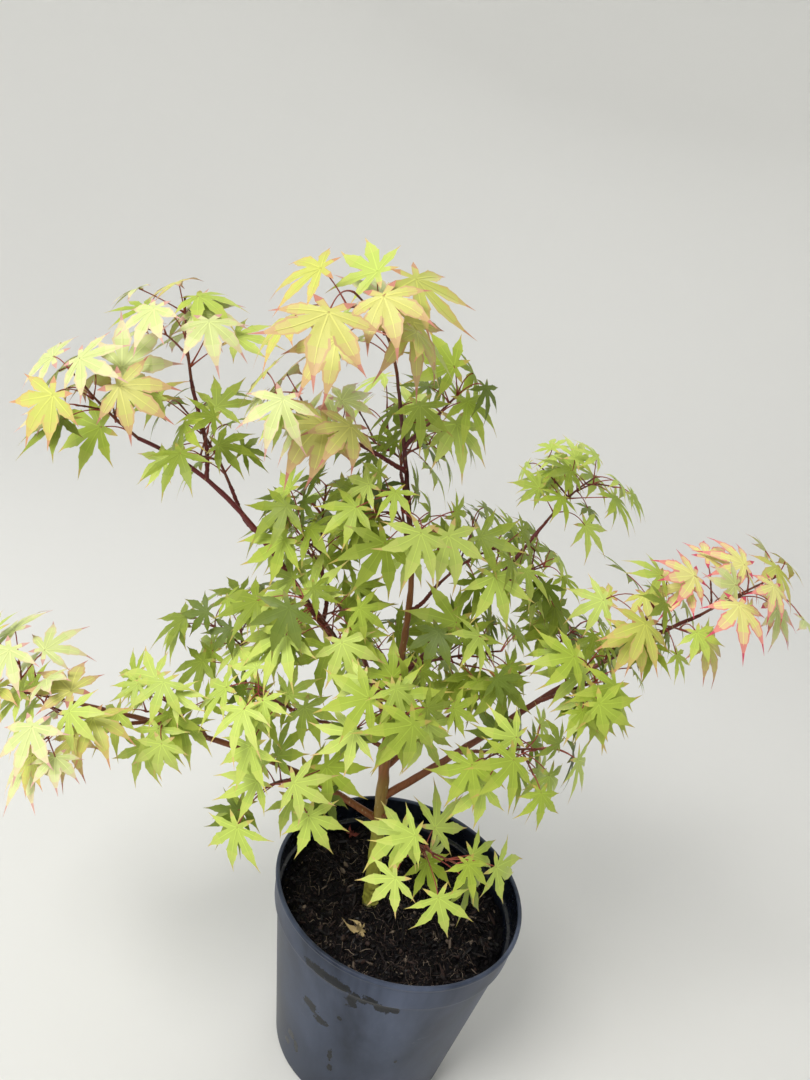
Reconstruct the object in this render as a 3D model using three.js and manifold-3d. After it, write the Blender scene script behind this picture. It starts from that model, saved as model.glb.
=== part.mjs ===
// Potted Japanese maple: a young plant in a round nursery pot, with a thin leaning trunk, long arching
// boughs and airy masses of star-shaped leaves.
//
// Millimetres, +Z up. The origin is the middle of the pot's flat underside, which stands on the ground.
// The plant is seen from -Y, with +X on the right.

import * as THREE from "three";
import { mergeVertices } from "three/addons/utils/BufferGeometryUtils.js";
import Module from "manifold-3d";

const wasm = await Module();
wasm.setup();

// Pieces that meet keep this much air between them.
const CLEARANCE = 0.3;

// Pot: a tapered wall with a wider rim band round its mouth, a rolled lip and a flat floor.
const POT_HEIGHT = 156;
const POT_MOUTH_RADIUS = 95;
const POT_BASE_RADIUS = 70;
const POT_WALL = 1.8;
const POT_FLOOR = 2.5;
const POT_BASE_ROUND = 3;
const RIM_BAND_HEIGHT = 22;
const RIM_BAND_STEP = 2.6;
const RIM_BAND_TAPER = 1.2;
const LIP_HEIGHT = 3;
const LIP_OVERHANG = 1.1;
const POT_SEGMENTS = 48;

// Compost that fills the pot to below the rim band.
const SOIL_LEVEL = 131;
const SOIL_EDGE_FALL = 2.5;
const SOIL_SEGMENTS = 36;

// Trunk: its middle and radius from the flat cut at the soil to the tip of the leader.
const TRUNK_SIDES = 8;
const TRUNK_STEPS = 18;
const TRUNK_STATIONS = [
  { at: [-18, -6, SOIL_LEVEL + CLEARANCE], radius: 7.4 },
  { at: [-19, -6, 137], radius: 6 },
  { at: [-21, -6, 155], radius: 5.7 },
  { at: [-28, -5, 215], radius: 4.6 },
  { at: [-37, -4, 290], radius: 3.5 },
  { at: [-40, -2, 345], radius: 2.7 },
  { at: [-46, 0, 400], radius: 2.3 },
  { at: [-66, -4, 474], radius: 1.9 },
  { at: [-82, -22, 530], radius: 1.4 },
];

// Boughs: tapering limbs that leave the trunk or another bough and arch to a mass of leaves.
const BOUGH_SIDES = 5;
const BOUGH_STEPS = 6;
const BOUGH_TIP_RADIUS = 1.2;
const BOUGH_LEAST = 17;
const BOUGH_TAPER_PER_MM = 0.0062;
const BOUGH_REACH = 0.36;
const BOUGH_SETTLE = 0.6;
const LIMB_MEETING_ANGLE = 0.8;

// Twigs and leaf stalks inside a mass.
const TWIG_SIDES = 3;
const STEM_RADIUS = 1.2;
const TWIG_RADIUS = 0.9;
const TWIG_TIP_RADIUS = 0.65;
const TWIG_LEAST = 17;
const NODE_SPACING = 20;
const STALK_RADIUS = 0.6;
const STALK_LENGTH = 22;
const STALK_LEAST = 10;
const STALK_UNDER = 0.12;

// Leaf: long pointed lobes round a hub, as shares of the middle lobe's length.
const LEAF_LENGTH = 34;
const LEAF_THICKNESS = 1.3;
const LOBE_ANGLES = [-98, -47, 0, 47, 98];
const LOBE_LENGTHS = [0.72, 0.95, 1, 0.95, 0.72];
const NOTCH_SHARE = 0.34;
const HUB_BACK_SHARE = 0.07;
const LEAF_DROOP = 0.2;
const HANG_SPREAD = 0.28;
const ROLL_SPREAD = 0.3;
const LENGTH_SPREAD = 0.14;

// Room kept between the middle lines of lobes and limbs, twigs, stalks and other leaves. A lobe is at
// most about 4 mm wide to each side of its middle line, so other masses' leaves stay clear of it.
const LIMB_ROOM = 4.6;
const BLADE_ROOM = 8.2;
const WOOD_ROOM = 2.2;
const TWIG_ROOM = 2.6;
const STALK_ROOM = 2;
const LEAF_ROOM = 6;
const TIP_REACH = 15;
const STEM_ROOM = 5;

// How leaves are dealt out through a mass.
const STEM_TRIES = 60;
const LEAF_TRIES = 3000;
const SITE_SHARE = 0.75;
const LEAVES_PER_NODE = 2;

// The side that the whole crown leans to: its middle line rises from the soil to the leader's tip.
const CROWN_FOOT = [-18, 0, 131];
const CROWN_TIP = [-92, 0, 560];

// The side that the light comes from, which all leaves turn to somewhat.
const LIGHT_SIDE = [0, -1.2, 0];

// Each mass: name, middle and half sizes of its space, the limb it comes from, the share of that limb's
// length where it leaves, how much its bough arches, how its leaves hang in radians, their number and
// size. A mass with no arch has no bough: its stem comes straight out of the limb.
const MASSES = [
  ["crown_top", [-102, -46, 556], [60, 62, 44], "trunk", 1, null, 0.75, 11, 1.12],
  ["crown_left", [-130, -24, 496], [50, 52, 42], "trunk", 0.84, 0.1, 0.8, 8, 1.05],
  ["crown_right", [-50, 4, 512], [42, 54, 46], "trunk", 0.88, 0.1, 0.8, 7, 1],
  ["crown_back", [-82, 66, 478], [66, 52, 52], "trunk", 0.76, 0.1, 0.7, 8, 1],
  ["centre_high", [-62, -22, 446], [52, 54, 38], "trunk", 0.68, 0.1, 0.9, 8, 0.98],
  ["spray_left_tip", [-260, -18, 478], [52, 54, 42], "trunk", 0.43, 0.75, 0.85, 10, 1.08],
  ["spray_left_high", [-220, 14, 522], [60, 54, 38], "bough_spray_left_tip", 0.8, 0.1, 0.75, 8, 1],
  ["spray_left_low", [-196, 0, 462], [54, 54, 42], "bough_spray_left_tip", 0.62, -0.3, 0.8, 8, 1],
  ["centre_left_high", [-112, 2, 426], [50, 52, 40], "bough_spray_left_tip", 0.3, 0.2, 0.85, 7, 0.97],
  ["centre_left", [-100, -30, 372], [54, 52, 44], "bough_spray_left_tip", 0.12, -0.1, 0.95, 9, 0.98],
  ["spray_right_high", [66, 122, 454], [66, 54, 42], "trunk", 0.48, -0.25, 0.75, 9, 0.9],
  ["spray_right_low", [40, 88, 388], [52, 52, 44], "bough_spray_right_high", 0.5, -0.1, 0.7, 7, 0.9],
  ["centre_right_high", [-8, 6, 428], [44, 50, 42], "trunk", 0.6, 0.1, 0.8, 6, 0.95],
  ["centre_right", [4, -14, 362], [48, 50, 44], "trunk", 0.5, 0.1, 0.95, 8, 0.97],
  ["arm_right_tip", [178, 30, 436], [60, 54, 38], "trunk", 0.24, 0.32, 0.75, 10, 0.98],
  ["arm_right_outer", [122, 22, 406], [50, 54, 46], "bough_arm_right_tip", 0.72, 0.2, 0.75, 8, 0.98],
  ["arm_right_inner", [86, -16, 362], [48, 52, 44], "bough_arm_right_tip", 0.5, 0.1, 0.85, 7, 0.98],
  ["front_right", [46, -46, 320], [54, 52, 44], "bough_arm_right_tip", 0.22, 0.2, 1, 8, 1],
  ["front_high", [-36, -66, 340], [50, 44, 42], "trunk", 0.44, 0.2, 1, 7, 0.98],
  ["front_low", [8, -62, 240], [58, 50, 48], "trunk", 0.2, 0.5, 1.05, 9, 0.95],
  ["front_left", [-104, -54, 258], [54, 52, 46], "bough_arm_left_tip", 0.25, 0.1, 1, 8, 1],
  ["left_low", [-112, -52, 316], [50, 48, 42], "trunk", 0.34, 0.3, 0.95, 7, 1],
  ["left_mid", [-158, 22, 322], [54, 54, 46], "bough_arm_left_tip", 0.42, 0.3, 0.75, 8, 0.98],
  ["arm_left_inner", [-184, -34, 282], [50, 52, 44], "bough_arm_left_tip", 0.58, 0.1, 0.8, 7, 1],
  ["arm_left_outer", [-236, -80, 278], [48, 50, 48], "bough_arm_left_tip", 0.75, 0.1, 0.75, 7, 1.05],
  ["arm_left_tip", [-290, -52, 288], [50, 52, 44], "trunk", 0.19, 0.3, 0.8, 8, 1.05],
  ["back_left", [-130, 116, 362], [62, 56, 56], "trunk", 0.38, 0.3, 0.7, 9, 1],
  ["back_right", [92, 112, 330], [56, 56, 46], "trunk", 0.3, 0.2, 0.75, 7, 0.97],
  ["back_low", [-36, 110, 276], [60, 56, 52], "trunk", 0.26, 0.2, 0.8, 8, 1],
].map(([name, middle, half, from, share, arch, hang, leaves, size], index) => ({
  name,
  middle: new THREE.Vector3(...middle),
  half: new THREE.Vector3(...half),
  from,
  share,
  arch,
  hang,
  leaves,
  size,
  seed: 101 + 17 * index,
}));

// Colours of each kind of piece.
const COLOURS = {
  pot: 0x3f474f,
  soil: 0x2a221c,
  trunk: 0x8a8a3a,
  bough: 0x6e2a24,
  leaves: 0xb5cc4a,
};

const UP = new THREE.Vector3(0, 0, 1);

function randomStream(seed) {
  let state = (seed * 48271 + 11) % 2147483647;
  const next = () => {
    state = (state * 16807) % 2147483647;
    return state / 2147483647;
  };
  next();
  next();
  return next;
}

const between = (next, low, high) => low + (high - low) * next();

// The direction of a vector turned off the up direction, level with the ground.
function level(vector) {
  const flat = new THREE.Vector3(vector.x, vector.y, 0);
  return flat.lengthSq() > 1e-9 ? flat.normalize() : new THREE.Vector3(1, 0, 0);
}

// Any unit vector square to a direction, always the same for the same direction.
function squareTo(direction) {
  const reference = Math.abs(direction.z) > 0.9 ? new THREE.Vector3(1, 0, 0) : UP;
  return new THREE.Vector3().crossVectors(direction, reference).normalize();
}

// Points and radii along a curve, evenly spaced in the curve's own parameter, and the direction that its
// foot is cut square to.
function limbAlong(name, curve, steps, radiusAt, foot) {
  const points = [];
  const radii = [];
  for (let i = 0; i <= steps; i++) {
    points.push(curve.getPoint(i / steps));
    radii.push(radiusAt(i / steps));
  }
  return { name, points, radii, foot };
}

// The place, direction and radius of a limb at a share of its length.
function stationOf(limb, share) {
  const lengths = [0];
  for (let i = 1; i < limb.points.length; i++) {
    lengths.push(lengths[i - 1] + limb.points[i].distanceTo(limb.points[i - 1]));
  }
  const wanted = share * lengths[lengths.length - 1];
  let i = 1;
  while (i < lengths.length - 1 && lengths[i] < wanted) i++;
  const part = (wanted - lengths[i - 1]) / (lengths[i] - lengths[i - 1]);
  return {
    point: limb.points[i - 1].clone().lerp(limb.points[i], part),
    along: limb.points[i].clone().sub(limb.points[i - 1]).normalize(),
    radius: limb.radii[i - 1] + (limb.radii[i] - limb.radii[i - 1]) * part,
  };
}

// Distance between two straight pieces, each given by its two ends.
function distanceBetween(a0, a1, b0, b1) {
  const u = a1.clone().sub(a0);
  const v = b1.clone().sub(b0);
  const w = a0.clone().sub(b0);
  const uu = u.dot(u);
  const uv = u.dot(v);
  const vv = v.dot(v);
  const uw = u.dot(w);
  const vw = v.dot(w);
  const clamp = (x) => Math.min(1, Math.max(0, x));
  const det = uu * vv - uv * uv;
  let s = det > 1e-9 ? clamp((uv * vw - vv * uw) / det) : 0;
  const t = clamp((uv * s + vw) / vv);
  s = clamp((uv * t - uw) / uu);
  return w.addScaledVector(u, s).addScaledVector(v, -t).length();
}

// How far a point lies inside the rounded space of a mass.
function roomInside(mass, point) {
  const reach = point.clone().sub(mass.middle).divide(mass.half).length();
  return (1 - reach) * Math.min(mass.half.x, mass.half.y, mass.half.z);
}

// The obstacles that come near a leaf or twig that lies within a given reach of a point.
function nearTo(obstacles, point, reach) {
  return obstacles.filter(([a, b]) => {
    const middle = a.clone().lerp(b, 0.5);
    return middle.distanceTo(point) < reach + 0.5 * a.distanceTo(b);
  });
}

function isClear(pieces, obstacles, room) {
  return pieces.every(([a0, a1]) =>
    obstacles.every(([b0, b1, radius]) => distanceBetween(a0, a1, b0, b1) > room + radius),
  );
}

function piecesOf(limb) {
  const pieces = [];
  for (let i = 1; i < limb.points.length; i++) {
    pieces.push([limb.points[i - 1], limb.points[i], Math.max(limb.radii[i - 1], limb.radii[i])]);
  }
  return pieces;
}

// Trunk.
function makeTrunk() {
  const curve = new THREE.CatmullRomCurve3(
    TRUNK_STATIONS.map((station) => new THREE.Vector3(...station.at)),
    false,
    "centripetal",
  );
  const last = TRUNK_STATIONS.length - 1;
  const radiusAt = (t) => {
    const i = Math.min(last - 1, Math.floor(t * last));
    return THREE.MathUtils.lerp(
      TRUNK_STATIONS[i].radius,
      TRUNK_STATIONS[i + 1].radius,
      t * last - i,
    );
  };
  return limbAlong("trunk", curve, TRUNK_STEPS, radiusAt, UP);
}

// Where a side limb starts beside its parent: clear of the parent's bark, and turned away from it at no
// less than a set angle.
function leaveLimb(station, wish, radius) {
  const away = wish.clone().addScaledVector(station.along, -wish.dot(station.along)).normalize();
  let along = wish.dot(station.along);
  along = Math.min(Math.max(along, -0.2), Math.sqrt(1 - LIMB_MEETING_ANGLE ** 2));
  const direction = away.clone().multiplyScalar(Math.sqrt(1 - along * along));
  direction.addScaledVector(station.along, along);
  const sine = Math.sqrt(1 - along * along);
  const start = (station.radius + CLEARANCE + radius * Math.abs(along)) / sine;
  return { point: station.point.clone().addScaledVector(direction, start), direction };
}

// The place where a bough enters its mass: near the edge of the mass's space that faces the limb it
// comes from, or further in where that limb runs close by.
function entryOf(mass, from) {
  const toward = from.clone().sub(mass.middle).divide(mass.half).normalize().multiply(mass.half);
  for (let share = 0.8; share > 0.1; share -= 0.05) {
    const point = mass.middle.clone().addScaledVector(toward, share);
    if (point.distanceTo(from) > BOUGH_LEAST) return point;
  }
  return mass.middle.clone();
}

// A bough: leaves its parent, arches by the given amount and settles towards the mass.
function makeBough(mass, parent) {
  const station = stationOf(parent, mass.share);
  const end = entryOf(mass, station.point);
  const span = end.distanceTo(station.point);
  const straight = end.clone().sub(station.point).normalize();
  const wish = straight.clone().addScaledVector(UP, mass.arch).normalize();
  const thickness = Math.min(BOUGH_TIP_RADIUS + BOUGH_TAPER_PER_MM * span, 0.85 * station.radius);
  const start = leaveLimb(station, wish, thickness);
  const arrival = straight.clone().addScaledVector(UP, -BOUGH_SETTLE * mass.arch).normalize();
  const curve = new THREE.CubicBezierCurve3(
    start.point,
    start.point.clone().addScaledVector(start.direction, span * BOUGH_REACH),
    end.clone().addScaledVector(arrival, -span * BOUGH_REACH),
    end,
  );
  const tip = Math.min(BOUGH_TIP_RADIUS, thickness);
  const radiusAt = (t) => thickness + (tip - thickness) * t;
  return limbAlong("bough_" + mass.name, curve, BOUGH_STEPS, radiusAt, start.direction);
}

// The lobes' middle lines of a leaf, from the hub to each tip.
function lobesOf(leaf) {
  return LOBE_ANGLES.map((degrees, i) => [
    leaf.hub,
    pointOnLeaf(leaf, THREE.MathUtils.degToRad(degrees), LOBE_LENGTHS[i]),
  ]);
}

// A point of the blade at an angle from its middle lobe and a share of its length: the blade droops with
// the square of the distance from the hub.
function pointOnLeaf(leaf, angle, share) {
  return leaf.hub
    .clone()
    .addScaledVector(leaf.forward, Math.cos(angle) * share * leaf.length)
    .addScaledVector(leaf.side, Math.sin(angle) * share * leaf.length)
    .addScaledVector(leaf.normal, -LEAF_DROOP * share * share * leaf.length);
}

// Which way a leaf faces at its hub: outwards from the crown and from its own mass, and to the light.
function facingAt(mass, hub) {
  const rise = (hub.z - CROWN_FOOT[2]) / (CROWN_TIP[2] - CROWN_FOOT[2]);
  const axis = new THREE.Vector3(...CROWN_FOOT).lerp(new THREE.Vector3(...CROWN_TIP), rise);
  const outwards = level(hub.clone().sub(axis)).add(level(hub.clone().sub(mass.middle)));
  return level(outwards.add(new THREE.Vector3(...LIGHT_SIDE)));
}

// A blade at its hub: it hangs by its mass's angle, and its middle lobe points on from its stalk.
function makeLeaf(mass, node, hub, draws) {
  const facing = facingAt(mass, hub);
  const across = new THREE.Vector3(-facing.y, facing.x, 0);
  const hang = mass.hang + HANG_SPREAD * draws[0];
  const normal = UP.clone().multiplyScalar(Math.cos(hang));
  normal.addScaledVector(facing, Math.sin(hang)).addScaledVector(across, ROLL_SPREAD * draws[1]).normalize();
  const wish = hub.clone().sub(node.point).normalize();
  wish.addScaledVector(facing, 0.35).addScaledVector(UP, -0.45).addScaledVector(across, 0.3 * draws[2]);
  const forward = wish.addScaledVector(normal, -wish.dot(normal)).normalize();
  const side = new THREE.Vector3().crossVectors(normal, forward);
  const length = LEAF_LENGTH * mass.size * (1 + LENGTH_SPREAD * draws[3]);
  const leaf = { hub, normal, forward, side, length };
  leaf.lobes = lobesOf(leaf).map(([a, b]) => [a, b, 0]);
  return leaf;
}

// Places along a shoot where leaves or side twigs can leave it.
function nodesOf(shoot) {
  const nodes = [];
  for (let i = 1; i < shoot.points.length; i++) {
    const along = shoot.points[i].clone().sub(shoot.points[i - 1]).normalize();
    const halfway = shoot.points[i - 1].clone().lerp(shoot.points[i], 0.5);
    nodes.push({ point: halfway, along, used: 0 });
    nodes.push({ point: shoot.points[i], along, used: 0 });
  }
  return nodes;
}

// The node that a leaf at a place would grow from: near it, and with the leaf ahead of it on its shoot.
function nodeFor(nodes, hub) {
  let best = null;
  let least = Infinity;
  for (const node of nodes) {
    if (node.used >= LEAVES_PER_NODE) continue;
    const span = hub.clone().sub(node.point);
    const distance = span.length();
    const cost = distance * (1.3 - (0.5 * span.dot(node.along)) / distance);
    if (distance > STALK_LEAST && cost < least) {
      best = node;
      least = cost;
    }
  }
  return best;
}

// The stem of a mass: it carries on from its bough, through the middle of its space to the far side. It
// tries a few ways through and keeps the longest that stays clear.
function growStem(mass, start, direction, others, blades, next) {
  let best = null;
  for (let attempt = 0; attempt < STEM_TRIES; attempt++) {
    const stray = new THREE.Vector3(between(next, -1, 1), between(next, -1, 1), between(next, -1, 1));
    const far = mass.middle.clone().multiplyScalar(1.5).addScaledVector(start, -0.5);
    far.add(stray.multiply(mass.half).multiplyScalar(0.1 + 0.03 * attempt));
    const reach = far.distanceTo(start);
    const bend = start.clone().addScaledVector(direction, 0.4 * reach);
    const curve = new THREE.QuadraticBezierCurve3(start, bend, far);
    const steps = Math.max(2, Math.round(reach / NODE_SPACING));
    const points = [start];
    for (let i = 1; i <= steps; i++) {
      const point = curve.getPoint(i / steps);
      const piece = [points[i - 1].clone().lerp(point, 0.15), point];
      if (roomInside(mass, point) < STEM_ROOM || !isClear([piece], others, WOOD_ROOM + 1)) break;
      if (!isClear([piece], blades, LIMB_ROOM + 1)) break;
      points.push(point);
    }
    if (points.length > 1 && (!best || points.length > best.length)) best = points;
    if (best && best.length === steps + 1) break;
  }
  return best;
}

function taper(points, from, to, foot) {
  const last = points.length - 1;
  return { points, radii: points.map((_, i) => from + ((to - from) * i) / last), foot };
}

// A mass of leaves: a stem that grows on through its space, leaves spread through it by a seeded draw,
// each on a stalk from the nearest node, and a side twig wherever a leaf is out of a stalk's reach.
function growMass(mass, limbs, grown) {
  const parentName = mass.arch === null ? mass.from : "bough_" + mass.name;
  const parent = limbs.find((limb) => limb.name === parentName);
  const station = stationOf(parent, 1);
  const others = limbs.filter((limb) => limb !== parent).flatMap(piecesOf);
  others.push(...grown.flatMap((other) => other.wood));
  const blades = grown.flatMap((other) => other.blades);
  const next = randomStream(mass.seed);
  const start = station.point.clone().addScaledVector(station.along, CLEARANCE);
  const stemPoints = growStem(mass, start, station.along, others, blades, next);
  if (!stemPoints) throw new Error("no way for the stem of " + mass.name);
  others.push(...piecesOf(parent));
  const shoots = [taper(stemPoints, STEM_RADIUS, TWIG_TIP_RADIUS, station.along)];
  const nodes = nodesOf(shoots[0]);
  const wood = piecesOf(shoots[0]);
  const leaves = [];
  const ownBlades = [];
  for (let i = 0; i < LEAF_TRIES && leaves.length < mass.leaves; i++) {
    const draws = Array.from({ length: 9 }, () => between(next, -1, 1));
    const way = new THREE.Vector3(draws[4], draws[5], draws[6]);
    if (way.length() > 1) continue;
    const hub = mass.middle.clone().add(way.multiply(mass.half).multiplyScalar(SITE_SHARE));
    const node = nodeFor(nodes, hub);
    if (!node) continue;
    const leaf = makeLeaf(mass, node, hub, draws);
    if (node.point.clone().sub(hub).normalize().dot(leaf.normal) > -STALK_UNDER) continue;
    const ends = [hub, ...leaf.lobes.map((lobe) => lobe[1])];
    if (ends.some((end) => roomInside(mass, end) < -TIP_REACH)) continue;
    const reach = leaf.length * 1.1 + 10;
    if (!isClear(leaf.lobes, nearTo(others, hub, reach), LIMB_ROOM)) continue;
    if (!isClear(leaf.lobes, nearTo(blades, hub, reach), BLADE_ROOM)) continue;
    if (!isClear(leaf.lobes, nearTo(ownBlades, hub, reach), LEAF_ROOM)) continue;
    if (!isClear(leaf.lobes, wood, TWIG_ROOM)) continue;
    const distance = hub.distanceTo(node.point);
    const stalkLength = STALK_LENGTH * (1 + 0.3 * draws[7]);
    leaf.root = node.point;
    let twig = null;
    if (distance > stalkLength + TWIG_LEAST) {
      leaf.root = node.point.clone().lerp(hub, 1 - stalkLength / distance);
      leaf.root.addScaledVector(UP, 0.06 * distance * (1 + draws[8]));
      twig = taper([node.point, leaf.root], TWIG_RADIUS, TWIG_TIP_RADIUS);
      if (roomInside(mass, leaf.root) < STEM_ROOM) continue;
      if (leaf.root.clone().sub(hub).normalize().dot(leaf.normal) > -STALK_UNDER) continue;
    }
    const added = [[leaf.root, hub, STALK_RADIUS], ...(twig ? piecesOf(twig) : [])];
    if (!isClear(added, others, WOOD_ROOM) || !isClear(added, blades, LIMB_ROOM)) continue;
    if (!isClear(added.map(([a, b]) => [a.clone().lerp(b, 0.1), b]), ownBlades, STALK_ROOM)) continue;
    node.used += 1;
    if (twig) {
      shoots.push(twig);
      nodes.push(...nodesOf(twig));
      nodes[nodes.length - 1].used += 1;
    }
    wood.push(...added);
    ownBlades.push(...leaf.lobes);
    leaves.push(leaf);
  }
  grown.push({ name: mass.name, shoots, leaves, wood, blades: ownBlades });
}

// A solid from a geometry: only positions, shared vertices merged and collapsed triangles dropped.
function solidFrom(geometry) {
  geometry.deleteAttribute("normal");
  geometry.deleteAttribute("uv");
  const merged = mergeVertices(geometry, 1e-4);
  const index = merged.index.array;
  const kept = [];
  for (let i = 0; i < index.length; i += 3) {
    const [a, b, c] = [index[i], index[i + 1], index[i + 2]];
    if (a !== b && b !== c && a !== c) kept.push(a, b, c);
  }
  return new wasm.Manifold(
    new wasm.Mesh({
      numProp: 3,
      vertProperties: merged.attributes.position.array,
      triVerts: new Uint32Array(kept),
    }),
  );
}

function geometryFrom(solid) {
  const mesh = solid.getMesh();
  const positions = new Float32Array(mesh.numVert * 3);
  for (let i = 0; i < mesh.numVert; i++) {
    positions.set(mesh.vertProperties.subarray(i * mesh.numProp, i * mesh.numProp + 3), i * 3);
  }
  const geometry = new THREE.BufferGeometry();
  geometry.setAttribute("position", new THREE.BufferAttribute(positions, 3));
  geometry.setIndex(new THREE.BufferAttribute(mesh.triVerts, 1));
  return geometry;
}

// A tapering limb: a turned column of rings, bent so that each ring stands square to the limb.
function limbGeometry(limb, sides) {
  const { points, radii } = limb;
  const last = points.length - 1;
  const profile = [new THREE.Vector2(0, 0)];
  radii.forEach((radius, i) => profile.push(new THREE.Vector2(radius, i)));
  profile.push(new THREE.Vector2(0, last));
  const geometry = new THREE.LatheGeometry(profile, sides);
  const frames = points.map((point, i) => {
    const before = points[Math.max(0, i - 1)];
    const after = points[Math.min(last, i + 1)];
    const along = i === 0 && limb.foot ? limb.foot : after.clone().sub(before).normalize();
    return { point, along };
  });
  let side = squareTo(frames[0].along);
  for (const frame of frames) {
    side = side.clone().addScaledVector(frame.along, -side.dot(frame.along)).normalize();
    frame.side = side;
    frame.other = new THREE.Vector3().crossVectors(frame.along, side);
  }
  const position = geometry.attributes.position;
  for (let i = 0; i < position.count; i++) {
    const frame = frames[Math.round(position.getY(i))];
    const moved = frame.point
      .clone()
      .addScaledVector(frame.side, position.getX(i))
      .addScaledVector(frame.other, -position.getZ(i));
    position.setXYZ(i, moved.x, moved.y, moved.z);
  }
  return geometry;
}

// A leaf with its stalk, turned in one piece: a flat cone over one ring of points, drawn out to the tips
// of the lobes and pulled in to the notches, whose underside closes on three corners of the stalk.
function leafGeometry(leaf) {
  const ring = [{ angle: Math.PI, share: HUB_BACK_SHARE }];
  LOBE_ANGLES.forEach((degrees, i) => {
    ring.push({ angle: THREE.MathUtils.degToRad(degrees), share: LOBE_LENGTHS[i] });
    if (i === LOBE_ANGLES.length - 1) return;
    const halfway = (degrees + LOBE_ANGLES[i + 1]) / 2;
    const share = NOTCH_SHARE * Math.min(LOBE_LENGTHS[i], LOBE_LENGTHS[i + 1]);
    ring.push({ angle: THREE.MathUtils.degToRad(halfway), share });
  });
  const stalk = leaf.root.clone().sub(leaf.hub).normalize();
  const across = leaf.forward.clone().addScaledVector(stalk, -leaf.forward.dot(stalk)).normalize();
  const beside = new THREE.Vector3().crossVectors(across, stalk);
  const corner = (centre, i, first, second) => {
    const angle = Math.PI + (2 * Math.PI * (Math.floor((i * 3) / ring.length) + 0.5)) / 3;
    return centre
      .clone()
      .addScaledVector(first, STALK_RADIUS * Math.cos(angle))
      .addScaledVector(second, STALK_RADIUS * Math.sin(angle));
  };
  const under = leaf.hub.clone().addScaledVector(leaf.normal, -LEAF_THICKNESS / 2);
  const places = [
    () => corner(leaf.root, 0, across, beside),
    (i) => corner(leaf.root, i, across, beside),
    (i) => corner(under, i, leaf.forward, leaf.side),
    (i) => pointOnLeaf(leaf, ring[i].angle, ring[i].share),
    () => leaf.hub.clone().addScaledVector(leaf.normal, LEAF_THICKNESS / 2),
  ];
  const profile = places.map((_, level) => new THREE.Vector2(level % 4 ? 1 : 0, level));
  const geometry = new THREE.LatheGeometry(profile, ring.length);
  const position = geometry.attributes.position;
  for (let i = 0; i < position.count; i++) {
    const turn = Math.atan2(position.getX(i), position.getZ(i)) / (2 * Math.PI);
    const step = (Math.round(turn * ring.length) + ring.length) % ring.length;
    const moved = places[Math.round(position.getY(i))](step);
    position.setXYZ(i, moved.x, moved.y, moved.z);
  }
  return geometry;
}

// The largest closed body of a joined mass, with no loose scrap or sealed hollow.
function largestBody(solid) {
  return solid
    .decompose()
    .reduce((best, body) => (body.volume() > best.volume() ? body : best));
}

function massSolid(grown) {
  let solid = null;
  const join = (geometry) => {
    const piece = solidFrom(geometry);
    solid = solid ? solid.add(piece) : piece;
  };
  grown.shoots.forEach((shoot) => join(limbGeometry(shoot, TWIG_SIDES)));
  for (const leaf of grown.leaves) {
    join(leafGeometry(leaf));
  }
  return largestBody(solid);
}

// Pot: the outside from the middle of the underside up to the lip, then the inside back down.
function potGeometry() {
  const bandFoot = POT_HEIGHT - RIM_BAND_HEIGHT;
  const lipRadius = POT_MOUTH_RADIUS;
  const bandTop = lipRadius - LIP_OVERHANG;
  const bandBottom = bandTop - RIM_BAND_TAPER;
  const wallTop = bandBottom - RIM_BAND_STEP;
  const profile = [
    [0, 0],
    [POT_BASE_RADIUS - POT_BASE_ROUND, 0],
    [POT_BASE_RADIUS, POT_BASE_ROUND],
    [wallTop, bandFoot - 1],
    [bandBottom, bandFoot],
    [bandTop, POT_HEIGHT - LIP_HEIGHT],
    [lipRadius, POT_HEIGHT - LIP_HEIGHT + 0.6],
    [lipRadius, POT_HEIGHT - 0.6],
    [lipRadius - 0.7, POT_HEIGHT],
    [bandTop - POT_WALL, POT_HEIGHT],
    [bandBottom - POT_WALL, bandFoot + 1.5],
    [wallTop - POT_WALL, bandFoot],
    [POT_BASE_RADIUS - POT_WALL, POT_FLOOR],
    [0, POT_FLOOR],
  ];
  return standing(new THREE.LatheGeometry(profile.map(([r, z]) => new THREE.Vector2(r, z)), POT_SEGMENTS));
}

// The inside radius of the pot's wall below the rim band.
function potInsideAt(z) {
  const bandFoot = POT_HEIGHT - RIM_BAND_HEIGHT;
  const wallTop = POT_MOUTH_RADIUS - LIP_OVERHANG - RIM_BAND_TAPER - RIM_BAND_STEP - POT_WALL;
  const share = (z - POT_FLOOR) / (bandFoot - POT_FLOOR);
  return THREE.MathUtils.lerp(POT_BASE_RADIUS - POT_WALL, wallTop, share);
}

function soilGeometry() {
  const flats = Math.cos(Math.PI / POT_SEGMENTS);
  const reach = (z) => potInsideAt(z) * flats - CLEARANCE;
  const foot = POT_FLOOR + CLEARANCE;
  const edge = SOIL_LEVEL - SOIL_EDGE_FALL;
  const profile = [
    [0, foot],
    [reach(foot), foot],
    [reach(edge), edge],
    [reach(edge) * 0.9, SOIL_LEVEL],
    [0, SOIL_LEVEL],
  ];
  return standing(new THREE.LatheGeometry(profile.map(([r, z]) => new THREE.Vector2(r, z)), SOIL_SEGMENTS));
}

// A turned shape set upright: its axis along +Z.
function standing(geometry) {
  return geometry.rotateX(Math.PI / 2);
}

const trunk = makeTrunk();
const limbs = [trunk];
const withBough = MASSES.filter((mass) => mass.arch !== null);
for (const mass of withBough.filter((each) => each.from === "trunk")) {
  limbs.push(makeBough(mass, trunk));
}
for (const mass of withBough.filter((each) => each.from !== "trunk")) {
  limbs.push(makeBough(mass, limbs.find((limb) => limb.name === mass.from)));
}

const group = new THREE.Group();

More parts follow.
